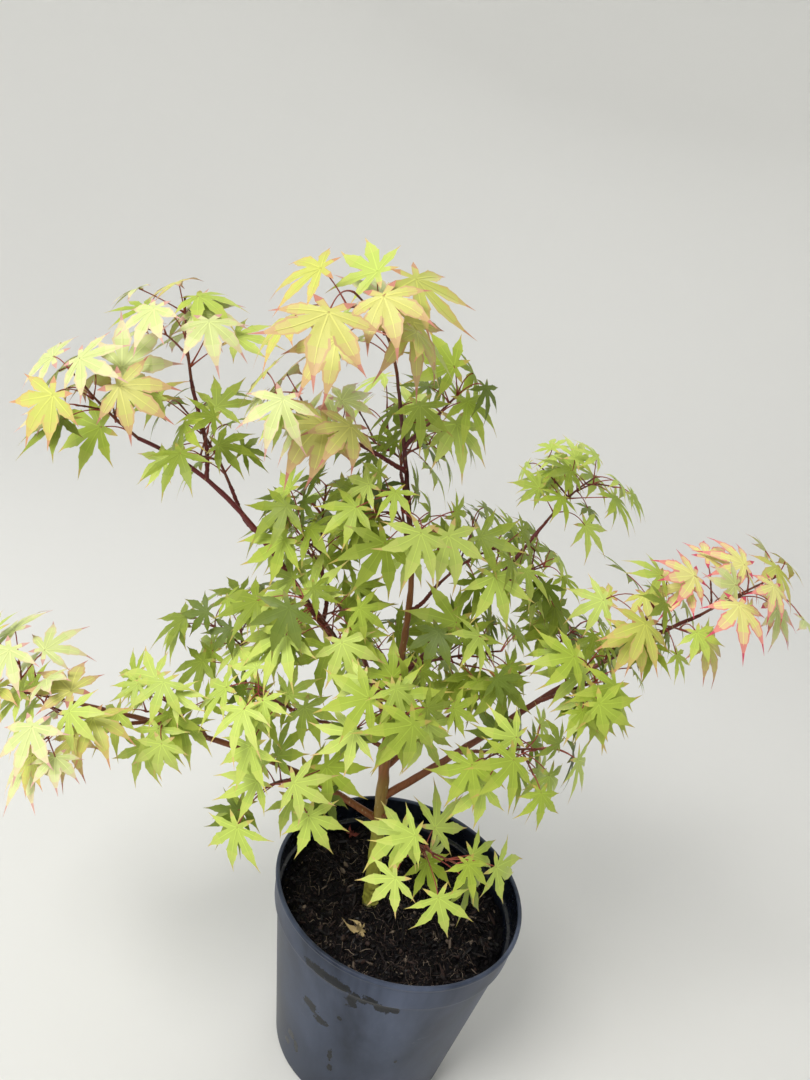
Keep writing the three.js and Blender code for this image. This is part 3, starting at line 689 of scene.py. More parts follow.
def tubes(points, radii, sides, relief=None):
    """Round limbs of like ring counts in one go: rings of points square to each path, closed by a pole at each end.
    points is (limbs, rings, 3), radii (limbs, rings); relief(angle, ring share, limb) adds to the radius."""
    limbs, rings = points.shape[:2]
    along = unit(np.gradient(points, axis=1))
    lean = np.abs(along).max(axis=1)
    reference = np.eye(3)[lean.argmin(axis=1)][:, None]
    side = unit(reference - along * dot(reference, along)[..., None])
    other = np.cross(along, side)
    angle = np.arange(sides) * 2 * np.pi / sides
    spread = np.repeat(radii[..., None], sides, axis=2)
    if relief is not None:
        share = np.linspace(0, 1, rings)[None, :, None]
        spread = spread + relief(angle[None, None], share, np.arange(limbs)[:, None, None])
    ring = (
        points[:, :, None]
        + side[:, :, None] * (spread * np.cos(angle))[..., None]
        + other[:, :, None] * (spread * np.sin(angle))[..., None]
    )
    poles = np.stack([points[:, 0], points[:, -1]], axis=1)
    vertices = np.concatenate([ring.reshape(limbs, -1, 3), poles], axis=1)
    per_limb = rings * sides + 2
    shift = (np.arange(limbs) * per_limb)[:, None, None]
    quads = (grid_faces(rings, sides)[None] + shift).reshape(-1, 4)
    caps = (cap_faces(rings, sides)[None] + shift).reshape(-1, 3)
    return vertices.reshape(-1, 3), [quads, caps]


def resample(points, radii, count, bow=0.0):
    """A path set out again with evenly spaced points, rounded at its corners and bowed up by a share of its length."""
    points = np.asarray(points, float)
    steps = np.linalg.norm(np.diff(points, axis=0), axis=1)
    length = np.concatenate([[0], np.cumsum(steps)])
    wanted = np.linspace(0, length[-1], count)
    path = np.stack([np.interp(wanted, length, points[:, k]) for k in range(3)], axis=1)
    width = np.interp(wanted, length, radii)
    for _ in range(3):
        path[1:-1] = (path[:-2] + 2 * path[1:-1] + path[2:]) / 4
    share = np.linspace(0, 1, count)[:, None]
    return path + UP * bow * length[-1] * 4 * share * (1 - share), width


def waves(seed, count, low, high):
    """A seeded sum of cosine waves over two directions, as a function of two arrays; its height is about 1."""
    draws = np.random.default_rng(seed)
    around = draws.integers(low, high, count)
    along = draws.uniform(low, high, count) * draws.choice([-1, 1], count)
    phase = draws.uniform(0, 2 * np.pi, count)

    def height(u, v):
        total = 0
        for a, b, c in zip(around, along, phase):
            total = total + np.cos(a * u + b * v + c)
        return total / math.sqrt(count)

    return height


# Materials.

class Finish:
    """A material made of nodes, with one Principled shader whose plain values sit on its own sockets."""

    def __init__(self, name, colour=(0.5, 0.5, 0.5), roughness=0.5, **sockets):
        self.material = bpy.data.materials.new(name)
        self.material.use_nodes = True
        self.tree = self.material.node_tree
        self.shader = next(node for node in self.tree.nodes if node.type == "BSDF_PRINCIPLED")
        self.shader.inputs["Base Color"].default_value = (*colour, 1)
        self.shader.inputs["Roughness"].default_value = roughness
        for socket, value in sockets.items():
            self.shader.inputs[socket.replace("_", " ")].default_value = value
        self.place = self.tree.nodes.new("ShaderNodeTexCoord").outputs["Object"]

    def node(self, kind, inputs=None, **settings):
        """A node with its settings and its inputs, each a value or another node's output."""
        made = self.tree.nodes.new("ShaderNode" + kind)
        for key, value in settings.items():
            setattr(made, key, value)
        for key, value in (inputs or {}).items():
            if isinstance(value, bpy.types.NodeSocket):
                self.tree.links.new(value, made.inputs[key])
            else:
                made.inputs[key].default_value = value
        return made

    def noise(self, scale, detail=4, roughness=0.55, stretch=None, distortion=0.0):
        """Noise over object coordinates, at a scale in cycles per metre, stretched by a factor on each axis."""
        place = self.place
        if stretch is not None:
            place = self.node("Mapping", {"Vector": place, "Scale": stretch}).outputs["Vector"]
        inputs = {"Vector": place, "Scale": scale, "Detail": detail, "Roughness": roughness, "Distortion": distortion}
        return self.node("TexNoise", inputs).outputs["Fac"]

    def cells(self, scale, stretch=None):
        """Distance from the middle of the nearest cell, at a scale in cells per metre."""
        place = self.place
        if stretch is not None:
            place = self.node("Mapping", {"Vector": place, "Scale": stretch}).outputs["Vector"]
        return self.node("TexVoronoi", {"Vector": place, "Scale": scale}).outputs["Distance"]

    def height(self, low, high):
        """0 at one height in metres and 1 at another."""
        z = self.node("SeparateXYZ", {"Vector": self.place}).outputs["Z"]
        inputs = {"Value": z, "From Min": low, "From Max": high}
        return self.node("MapRange", inputs).outputs["Result"]

    def ramp(self, value, *stops):
        """Colours at places along a value."""
        made = self.node("ValToRGB", {"Fac": value})
        ramp = made.color_ramp
        while len(ramp.elements) < len(stops):
            ramp.elements.new(0.5)
        for element, (place, colour) in zip(ramp.elements, stops):
            element.position = place
            element.color = (*colour, 1) if not np.isscalar(colour) else (colour, colour, colour, 1)
        return made.outputs["Color"]

    def mix(self, factor, first, second, blend="MIX"):
        """The first colour, with the second over it by a factor."""
        made = self.node("Mix", data_type="RGBA", blend_type=blend)
        for index, value in ((0, factor), (6, first), (7, second)):
            if isinstance(value, bpy.types.NodeSocket):
                self.tree.links.new(value, made.inputs[index])
            elif index == 0:
                made.inputs[0].default_value = value
            else:
                made.inputs[index].default_value = (*value, 1)
        return made.outputs[2]

    def maths(self, operation, first, second=0.0):
        """One step of arithmetic on two values."""
        return self.node("Math", {0: first, 1: second}, operation=operation).outputs["Value"]

    def between(self, value, low, high, to_low=0.0, to_high=1.0):
        """A value carried from one range to another and held inside it."""
        inputs = {"Value": value, "From Min": low, "From Max": high, "To Min": to_low, "To Max": to_high}
        return self.node("MapRange", inputs).outputs["Result"]

    def colour(self, output):
        self.tree.links.new(output, self.shader.inputs["Base Color"])

    def roughness(self, output):
        self.tree.links.new(output, self.shader.inputs["Roughness"])

    def relief(self, output, distance, strength=1.0):
        """Relief in metres from a value, added under any that is there."""
        inputs = {"Height": output, "Distance": distance, "Strength": strength}
        bump = self.node("Bump", inputs)
        under = self.shader.inputs["Normal"].links
        if under:
            self.tree.links.new(under[0].from_socket, bump.inputs["Normal"])
        self.tree.links.new(bump.outputs["Normal"], self.shader.inputs["Normal"])


# Damp marks on the pot's outside: middle as an angle round the pot in radians and a height, and half sizes.
DAMP_MARKS = (
    ((-2.1, 0.1380), (0.15, 0.0044)),
    ((-1.93, 0.1370), (0.15, 0.0062)),
    ((-1.72, 0.1335), (0.16, 0.0060)),
    ((-1.52, 0.1285), (0.11, 0.0052)),
    ((-1.79, 0.1255), (0.065, 0.0074)),
    ((-2.14, 0.0945), (0.09, 0.0058)),
    ((-2.02, 0.0870), (0.08, 0.0042)),
    ((-2.38, 0.0400), (0.06, 0.0045)),
    ((-2.28, 0.0330), (0.04, 0.0062)),
    ((-2.43, 0.0260), (0.05, 0.0040)),
    ((-1.857, 0.1015), (0.024, 0.0022)),
    ((-1.88, 0.0560), (0.028, 0.0075)),
    ((-1.86, 0.0410), (0.035, 0.0042)),
    ((-1.29, 0.0670), (0.018, 0.0020)),
)


def pot_finish(settings):
    """Moulded plastic outside: dark slate with a soft shine, cloudy bloom that fades towards the foot as painted
    shade, fine scuffs and dust, and smoother damp marks that are ellipses in angle and height with ragged edges."""
    wall = tuple(settings.wall_colour)
    bloom = tuple(settings.bloom_colour)
    finish = Finish("moulded_plastic", roughness=0.4, Specular_IOR_Level=0.24)
    clouds = finish.noise(10, 5, 0.6, (1, 1, 0.6), 0.4)
    # Painted shade: the bloom fades to three tenths at the foot, so the wall darkens downwards.
    foot_shade = finish.between(finish.height(0.0, 0.13), 0, 1, 0.3, 1)
    colour = finish.mix(finish.maths("MULTIPLY", finish.between(clouds, 0.38, 0.62), foot_shade), wall, bloom)
    specks = finish.between(finish.cells(420), 0.05, 0.12, 1, 0)
    dust = finish.maths("MULTIPLY", finish.maths("MULTIPLY", specks, finish.between(clouds, 0.5, 0.6)), 0.3)
    colour = finish.mix(dust, colour, srgb(150, 150, 140))
    scuffs = finish.between(finish.noise(120, 4, 0.7, (0.25, 0.25, 1), 1.5), 0.66, 0.72)
    colour = finish.mix(finish.maths("MULTIPLY", scuffs, 0.25), colour, srgb(112, 120, 132))
    axes = finish.node("SeparateXYZ", {"Vector": finish.place}).outputs
    angle = finish.maths("ARCTAN2", axes["Y"], axes["X"])
    ragged = finish.maths("MULTIPLY", finish.maths("SUBTRACT", finish.noise(170, 6, 0.7), 0.5), 4.4)
    damp = None
    for (middle_angle, middle_height), (half_angle, half_height) in DAMP_MARKS:
        off = finish.maths("DIVIDE", finish.maths("SUBTRACT", angle, middle_angle), half_angle)
        up = finish.maths("DIVIDE", finish.maths("SUBTRACT", axes["Z"], middle_height), half_height)
        square = finish.maths("ADD", finish.maths("MULTIPLY", off, off), finish.maths("MULTIPLY", up, up))
        mark = finish.between(finish.maths("ADD", square, ragged), 0.7, 0.9, 1, 0)
        damp = mark if damp is None else finish.maths("MAXIMUM", damp, mark)
    colour = finish.mix(damp, colour, srgb(7, 11, 19))
    finish.colour(colour)
    rough = finish.between(clouds, 0.3, 0.7, 0.34, 0.46)
    finish.roughness(finish.maths("SUBTRACT", rough, finish.maths("MULTIPLY", damp, 0.22)))
    finish.relief(finish.noise(900, 2), 0.00004, 0.5)
    finish.relief(finish.noise(25, 2), 0.0004, 0.3)
    return finish.material


def inner_wall_finish(settings):
    """Moulded plastic inside: far darker than the outside as painted shade, wet and glossy, with beads of water and
    splashed compost low down.
    """
    finish = Finish("moulded_plastic_inside", roughness=0.25, Specular_IOR_Level=0.5)
    # Painted shade: the inside takes the outer wall's colour at three tenths.
    wall = tuple(0.3 * part for part in settings.wall_colour)
    clouds = finish.noise(40, 4, 0.6)
    colour = finish.mix(finish.between(clouds, 0.45, 0.7), wall, tuple(1.7 * part for part in wall))
    splashes = finish.between(finish.noise(420, 3, 0.7), 0.62, 0.66)
    low = finish.height(0.142, 0.132)
    colour = finish.mix(finish.maths("MULTIPLY", splashes, low), colour, srgb(38, 29, 26))
    finish.colour(colour)
    finish.roughness(finish.between(clouds, 0.35, 0.65, 0.16, 0.42))
    finish.relief(finish.between(finish.cells(300), 0.0, 0.35, 1, 0), 0.0005, 0.5)
    return finish.material


def soil_finish(settings):
    """Damp compost: near-black brown, with lighter and redder crumbs and wet glints."""
    dark = tuple(settings.damp_colour)
    finish = Finish("damp_compost", roughness=0.7, Specular_IOR_Level=0.14)
    crumbs = finish.cells(260)
    fine = finish.noise(330, 6, 0.8)
    patches = finish.noise(45, 3)
    colour = finish.ramp(
        fine, (0.42, tuple(0.2 * part for part in dark)), (0.55, dark), (0.68, tuple(5 * part for part in dark))
    )
    redder = finish.maths("MULTIPLY", finish.between(patches, 0.5, 0.7), 0.3)
    colour = finish.mix(redder, colour, srgb(36, 26, 26))
    finish.colour(colour)
    finish.roughness(finish.between(fine, 0.35, 0.65, 0.38, 0.85))
    finish.relief(crumbs, 0.0016, 1.0)
    finish.relief(fine, 0.0008, 0.9)
    return finish.material


def bark_finish(name, low, high, stops, streak):
    """Young smooth bark whose colour changes up the plant, with fine streaks, pale pores, a soft shine, and darker
    brown just above the soil."""
    finish = Finish(name, roughness=0.5, Specular_IOR_Level=0.4)
    along = finish.height(low, high)
    wander = finish.maths("MULTIPLY", finish.maths("SUBTRACT", finish.noise(35, 3), 0.5), 0.12)
    colour = finish.ramp(finish.maths("ADD", along, wander), *stops)
    streaks = finish.noise(500, 4, 0.6, (1, 1, 0.12))
    colour = finish.mix(finish.maths("MULTIPLY", finish.between(streaks, 0.5, 0.72), 0.5), colour, streak)
    pores = finish.cells(260, (1, 1, 0.5))
    pore_mask = finish.between(pores, 0.1, 0.2, 1, 0)
    colour = finish.mix(finish.maths("MULTIPLY", pore_mask, 0.45), colour, srgb(190, 170, 120))
    # Darker brown on the bark just above the soil, with a ragged upper edge.
    ragged = finish.maths("MULTIPLY", finish.noise(300, 4), 0.8)
    near_soil = finish.maths("ADD", finish.height(0.1325, 0.139), ragged)
    colour = finish.mix(finish.between(near_soil, 0.6, 1.1, 0.85, 0), colour, srgb(44, 36, 26))
    finish.colour(colour)
    finish.roughness(finish.between(streaks, 0.3, 0.7, 0.38, 0.6))
    finish.relief(streaks, 0.0002, 0.6)
    finish.relief(pores, 0.0002, 0.3)
    return finish.material


def plain_finish(name, colour, roughness, grain, depth, **sockets):
    """A plain base colour, with a fine grain in its shine and relief."""
    finish = Finish(name, colour, roughness, **sockets)
    value = finish.noise(grain, 3)
    finish.roughness(finish.between(value, 0.3, 0.7, roughness - 0.08, roughness + 0.1))
    finish.relief(value, depth, 0.6)
    return finish.material


# Settings that a user would change.

class MaplePotSettings(bpy.types.PropertyGroup):
    wall_colour: bpy.props.FloatVectorProperty(
        name="Wall colour", description="Colour of the moulded wall", default=srgb(28, 36, 52), size=3,
        min=0, max=1, subtype="COLOR")
    bloom_colour: bpy.props.FloatVectorProperty(
        name="Bloom colour", description="Colour of the cloudy bloom on the wall", default=srgb(80, 89, 110),
        size=3, min=0, max=1, subtype="COLOR")
    waviness: bpy.props.FloatProperty(
        name="Waviness", description="How far the thin wall strays from a true round", default=0.00035,
        min=0, max=0.002, unit="LENGTH", subtype="DISTANCE")


class MapleSoilSettings(bpy.types.PropertyGroup):
    damp_colour: bpy.props.FloatVectorProperty(
        name="Damp colour", description="Colour of the damp compost", default=srgb(14, 12, 15), size=3,
        min=0, max=1, subtype="COLOR")
    roughness_height: bpy.props.FloatProperty(
        name="Lump height", description="Height of the lumps in the surface", default=0.0036,
        min=0, max=0.006, unit="LENGTH", subtype="DISTANCE")
    crumbs: bpy.props.IntProperty(name="Crumbs", description="Number of loose crumbs", default=2600, min=0, max=4000)
    fibres: bpy.props.IntProperty(name="Fibres", description="Number of loose fibres", default=1600, min=0, max=2000)


class MapleBarkSettings(bpy.types.PropertyGroup):
    foot_colour: bpy.props.FloatVectorProperty(
        name="Foot colour", description="Bark colour at the soil", default=srgb(160, 160, 64), size=3,
        min=0, max=1, subtype="COLOR")
    middle_colour: bpy.props.FloatVectorProperty(
        name="Middle colour", description="Bark colour half way up", default=srgb(140, 88, 48), size=3,
        min=0, max=1, subtype="COLOR")
    leader_colour: bpy.props.FloatVectorProperty(
        name="Leader colour", description="Bark colour of the young leader", default=srgb(80, 22, 28), size=3,
        min=0, max=1, subtype="COLOR")
    relief: bpy.props.FloatProperty(
        name="Relief", description="Height of the bark's ribs and rings", default=0.00022,
        min=0, max=0.001, unit="LENGTH", subtype="DISTANCE")


class MapleTwigSettings(bpy.types.PropertyGroup):
    twig_colour: bpy.props.FloatVectorProperty(
        name="Twig colour", description="Colour of the twigs", default=srgb(104, 52, 36), size=3,
        min=0, max=1, subtype="COLOR")
    stalk_colour: bpy.props.FloatVectorProperty(
        name="Stalk colour", description="Colour of the leaf stalks", default=srgb(146, 62, 48), size=3,
        min=0, max=1, subtype="COLOR")


class MapleLeafSettings(bpy.types.PropertyGroup):
    blade_size: bpy.props.FloatProperty(
        name="Blade size", description="Size of each blade as a share of the rule's", default=1.02,
        min=0.5, max=1.1, subtype="FACTOR")
    fold: bpy.props.FloatProperty(
        name="Fold", description="How far lobes fold up along their midribs", default=0.16,
        min=0, max=0.5, subtype="FACTOR")
    vein_paleness: bpy.props.FloatProperty(
        name="Vein paleness", description="How much paler the midribs are than the blade", default=0.22,
        min=0, max=1, subtype="FACTOR")


class MapleStageSettings(bpy.types.PropertyGroup):
    floor_colour: bpy.props.FloatVectorProperty(
        name="Floor colour", description="Colour of the plain floor", default=(0.79, 0.79, 0.77), size=3,
        min=0, max=1, subtype="COLOR")
    key_strength: bpy.props.FloatProperty(
        name="Key light", description="Power of the large soft light", default=54, min=0, unit="POWER")
    fill_strength: bpy.props.FloatProperty(
        name="Fill light", description="Power of the low side light, and of the one behind", default=10,
        min=0, unit="POWER")


# The plant is grown once, by whichever operator first needs it.
GROWN = {}


def plant():
    """The limbs and the grown masses."""
    if not GROWN:
        GROWN["limbs"], GROWN["masses"] = grow_plant()
    return GROWN["limbs"], GROWN["masses"]


# Pot and compost.

FOOT_CLEAR = 6.4
FIBRE_POINTS = 6
FIBRE_SIDES = 3
FALLEN_LIFT = 5


def arc(centre, radius, start, end, count):
    """Points on part of a circle in the profile's plane, from one angle in degrees to another."""
    angle = np.radians(np.linspace(start, end, count))
    return [(centre[0] + radius * math.cos(a), centre[1] + radius * math.sin(a)) for a in angle]


def pot_profile():
    """The pot's section: underside, wall, stepped rim band, rolled lip, ledged inside and floor."""
    band_foot = POT_HEIGHT - RIM_BAND_HEIGHT
    band_top = POT_MOUTH_RADIUS - LIP_OVERHANG
    band_bottom = band_top - RIM_BAND_TAPER
    wall_top = band_bottom - RIM_BAND_STEP
    lip = POT_HEIGHT - LIP_HEIGHT
    profile = [(0, 0.5), (58, 0.5), (61, 0)]
    profile += arc((POT_BASE_RADIUS - POT_BASE_ROUND, POT_BASE_ROUND), POT_BASE_ROUND, -90, -8, 7)
    for share in np.linspace(0.04, 0.97, 26):
        profile.append((POT_BASE_RADIUS + (wall_top - POT_BASE_RADIUS) * share, 3 + (band_foot - 5) * share))
    profile += [(wall_top, band_foot - 1.6), (wall_top + 0.5, band_foot - 0.8), (band_bottom - 0.7, band_foot - 0.1)]
    profile += [(band_bottom - 0.1, band_foot + 0.4), (band_bottom, band_foot + 1.2)]
    for share in np.linspace(0.12, 0.9, 8):
        profile.append((band_bottom + RIM_BAND_TAPER * share, band_foot + (lip - band_foot) * share))
    profile += [(band_top, lip - 0.3), (band_top + 0.4, lip), (POT_MOUTH_RADIUS - 0.1, lip + 0.3)]
    profile += [(POT_MOUTH_RADIUS, lip + 0.9), (POT_MOUTH_RADIUS, POT_HEIGHT - 1)]
    profile += [(POT_MOUTH_RADIUS - 0.35, POT_HEIGHT - 0.3), (POT_MOUTH_RADIUS - 0.9, POT_HEIGHT)]
    profile += [(band_top - POT_WALL + 0.4, POT_HEIGHT)]
    profile += [(band_top - POT_WALL, POT_HEIGHT - 0.4)]
    for share in np.linspace(0.94, 0.12, 8):
        inside = band_bottom - POT_WALL + RIM_BAND_TAPER * share
        profile.append((inside, band_foot + 1.5 + (RIM_BAND_HEIGHT - 2) * share))
    inner = band_bottom - POT_WALL
    profile += [(inner, band_foot + 2.4), (inner - 0.5, band_foot + 1.9), (inner - 1.2, band_foot + 1.8)]
    profile += [(inner - 1.5, band_foot + 1.3), (inner - 2.3, band_foot + 1.1), (wall_top - POT_WALL, band_foot - 0.2)]
    for share in np.linspace(0.95, 0.05, 10):
        inside = POT_BASE_RADIUS - POT_WALL + (wall_top - POT_BASE_RADIUS) * share
        profile.append((inside, POT_FLOOR + (band_foot - POT_FLOOR) * share))
    profile += [(POT_BASE_RADIUS - POT_WALL - 1.5, POT_FLOOR), (0, POT_FLOOR)]
    return profile


class MAPLE_OT_pot(bpy.types.Operator):
    """Turn the pot from its section, a little out of round, with its ledges and rolled lip"""
    bl_idname = "maple.pot"
    bl_label = "Pot"

    def execute(self, context):
        settings = context.scene.maple_pot
        ripple = waves(11, 5, 2, 6)
        amount = settings.waviness / MM

        def out_of_round(angle, radius, height):
            # The thin wall strays in and out by slow waves that fade towards the stiff base.
            fade = np.clip(height / POT_HEIGHT, 0, 1) * (radius > TRUE_WITHIN)
            return amount * fade * ripple(angle, 0), 0

        profile = pot_profile()
        lip = max(range(len(profile)), key=lambda row: profile[row][1])
        vertices, faces = turned(profile, POT_COLUMNS, out_of_round)
        # The wall's quads take the inner finish past the lip, and of the two caps the upper one does.
        inside = np.repeat(np.arange(len(profile) - 3) > lip + 1, POT_COLUMNS)
        slots = np.concatenate([inside, np.arange(2 * POT_COLUMNS) >= POT_COLUMNS])
        piece = build_mesh("pot_body", vertices, faces, [pot_finish(settings), inner_wall_finish(settings)], slots)
        finish_piece(piece, "pot", "pot")
        return {"FINISHED"}


def pot_inside(height):
    """Inside radius of the wall below the rim band."""
    band_foot = POT_HEIGHT - RIM_BAND_HEIGHT
    wall_top = POT_MOUTH_RADIUS - LIP_OVERHANG - RIM_BAND_TAPER - RIM_BAND_STEP - POT_WALL
    share = (height - POT_FLOOR) / (band_foot - POT_FLOOR)
    return POT_BASE_RADIUS - POT_WALL + (wall_top - POT_BASE_RADIUS + POT_WALL) * share


def from_trunk(x, y):
    """Distance from the middle of the trunk's foot."""
    (foot_x, foot_y, _), _ = TRUNK_STATIONS[0]
    return np.hypot(x - foot_x, y - foot_y)


def soil_height(x, y, lump):
    """Height of the compost: a level fill that falls at the edge and rises to the trunk, with lumps of three sizes."""
    out = np.hypot(x, y) / pot_inside(SOIL_LEVEL)
    edge = SOIL_LEVEL - 0.6 - SOIL_EDGE_FALL * np.clip((out - 0.82) / 0.18, 0, 1) ** 2
    foot = 5.2 * np.exp(-((from_trunk(x, y) / 15) ** 2))
    slow = waves(21, 9, 1, 5)(x / 22, y / 22)
    middle = waves(22, 14, 2, 8)(x / 11, y / 11)
    fine = waves(23, 22, 3, 14)(x / 6, y / 6)
    return edge + foot + lump * (0.5 * slow + 0.35 * middle + 0.35 * fine)


def soil_surface(lump):
    """The compost as a closed form: a lumpy disc of rings, then the side down the pot's wall and the foot."""
    columns = 220
    rings = 84
    angle = np.arange(columns) * 2 * np.pi / columns
    top_edge = SOIL_LEVEL - SOIL_EDGE_FALL
    rim = pot_inside(top_edge) - CLEARANCE
    radius = np.repeat(rim * np.linspace(1, 0.012, rings)[:, None], columns, axis=1)
    x, y = radius * np.cos(angle), radius * np.sin(angle)
    top = np.stack([x, y, soil_height(x, y, lump)], axis=-1)
    side = []
    for share in np.linspace(0, 0.95, 6):
        z = POT_FLOOR + CLEARANCE + (top_edge - 3 - POT_FLOOR) * share
        reach = pot_inside(z) - CLEARANCE
        side.append(np.stack([reach * np.cos(angle), reach * np.sin(angle), np.full(columns, z)], axis=-1))
    ring = np.concatenate([np.array(side), top])
    rows = len(ring)
    vertices = np.concatenate([
        ring.reshape(-1, 3),
        [[0, 0, POT_FLOOR + CLEARANCE], [0, 0, float(top[-1, :, 2].mean())]],
    ])
    return vertices, [grid_faces(rows, columns), cap_faces(rows, columns)]


def scattered(draws, count, reach):
    """Places spread evenly over the compost, clear of the trunk's foot."""
    angle = draws.uniform(0, 2 * np.pi, count * 2)
    radius = reach * np.sqrt(draws.uniform(0, 1, count * 2))
    x, y = radius * np.cos(angle), radius * np.sin(angle)
    clear = from_trunk(x, y) > FOOT_CLEAR
    return x[clear][:count], y[clear][:count]


def turns(draws, count):
    """Random rotations, as orthogonal frames made from two random directions."""
    first = unit(draws.normal(size=(count, 3)))
    second = draws.normal(size=(count, 3))
    second = unit(second - first * dot(first, second)[:, None])
    return np.stack([first, second, np.cross(first, second)], axis=1)


def crumb_shape():
    """A twenty-faced lump on the golden rectangles' corners."""
    g = (1 + math.sqrt(5)) / 2
    corners = [(-1, g, 0), (1, g, 0), (-1, -g, 0), (1, -g, 0), (0, -1, g), (0, 1, g), (0, -1, -g), (0, 1, -g),
               (g, 0, -1), (g, 0, 1), (-g, 0, -1), (-g, 0, 1)]
    faces = [(0, 11, 5), (0, 5, 1), (0, 1, 7), (0, 7, 10), (0, 10, 11), (1, 5, 9), (5, 11, 4), (11, 10, 2),
             (10, 7, 6), (7, 1, 8), (3, 9, 4), (3, 4, 2), (3, 2, 6), (3, 6, 8), (3, 8, 9), (4, 9, 5), (2, 4, 11),
             (6, 2, 10), (8, 6, 7), (9, 8, 1)]
    return unit(np.array(corners, float)), np.array(faces)


def make_crumbs(count, lump):
    """Loose crumbs: the lump shape squeezed, roughened, turned and half sunk in the surface."""
    draws = np.random.default_rng(31)
    x, y = scattered(draws, count, pot_inside(SOIL_LEVEL) - 4.5)
    count = len(x)
    shape, faces = crumb_shape()
    size = 0.6 + 1.9 * draws.uniform(0, 1, count) ** 3
    squeeze = [draws.uniform(0.8, 1.6, count), draws.uniform(0.6, 1, count), draws.uniform(0.35, 0.8, count)]
    squeeze = np.stack(squeeze, axis=1)
    sliver = draws.uniform(size=count) < 0.3
    squeeze[sliver] = squeeze[sliver] * np.array([2.6, 0.6, 0.55])
    rough = draws.uniform(0.75, 1.2, (count, len(shape), 1))
    local = shape[None] * rough * squeeze[:, None] * size[:, None, None]
    spin = turns(draws, count)
    spin[:, 2] = unit(spin[:, 2] + np.array([0, 0, 1.5]))
    spin[:, 0] = unit(np.cross(spin[:, 1], spin[:, 2]))
    spin[:, 1] = np.cross(spin[:, 2], spin[:, 0])
    place = np.stack([x, y, soil_height(x, y, lump) + 0.3 * size], axis=1)
    vertices = place[:, None] + np.einsum("nvi,nij->nvj", local, spin)
    shift = (np.arange(count) * len(shape))[:, None, None]
    tints = draws.choice(4, count, p=[0.52, 0.26, 0.15, 0.07])
    return vertices.reshape(-1, 3), (faces[None] + shift).reshape(-1, 3), np.repeat(tints, len(faces))


def make_fibres(count, lump):
    """Loose fibres: thin three-sided strands that curve over the surface and lift at one end."""
    draws = np.random.default_rng(37)
    x, y = scattered(draws, count, pot_inside(SOIL_LEVEL) - 12)
    count = len(x)
    length = 3 + 13 * draws.uniform(0, 1, count) ** 2
    heading = draws.uniform(0, 2 * np.pi, count)
    bend = draws.normal(0, 0.22, count)
    lift = draws.uniform(0, 0.32, count)
    s = np.linspace(-0.5, 0.5, FIBRE_POINTS)[None]
    turn = heading[:, None] + bend[:, None] * s
    px = x[:, None] + length[:, None] * s * np.cos(turn)
    py = y[:, None] + length[:, None] * s * np.sin(turn)
    out = np.hypot(px, py)
    most = pot_inside(SOIL_LEVEL) - 3
    squeeze = np.minimum(1, most / np.maximum(out, 1e-6))
    px, py = px * squeeze, py * squeeze
    pz = soil_height(px, py, lump) + 0.35 + lift[:, None] * length[:, None] * np.maximum(s + 0.1, 0)
    points = np.stack([px, py, pz], axis=-1)
    width = draws.uniform(0.14, 0.4, count)[:, None] * np.array([[0.5, 0.9, 1, 1, 0.8, 0.35]])
    vertices, faces = tubes(points, width, FIBRE_SIDES)
    tints = draws.choice(3, count, p=[0.62, 0.28, 0.1])
    return vertices, faces, [np.repeat(tints, (FIBRE_POINTS - 1) * FIBRE_SIDES), np.repeat(tints, 2 * FIBRE_SIDES)]


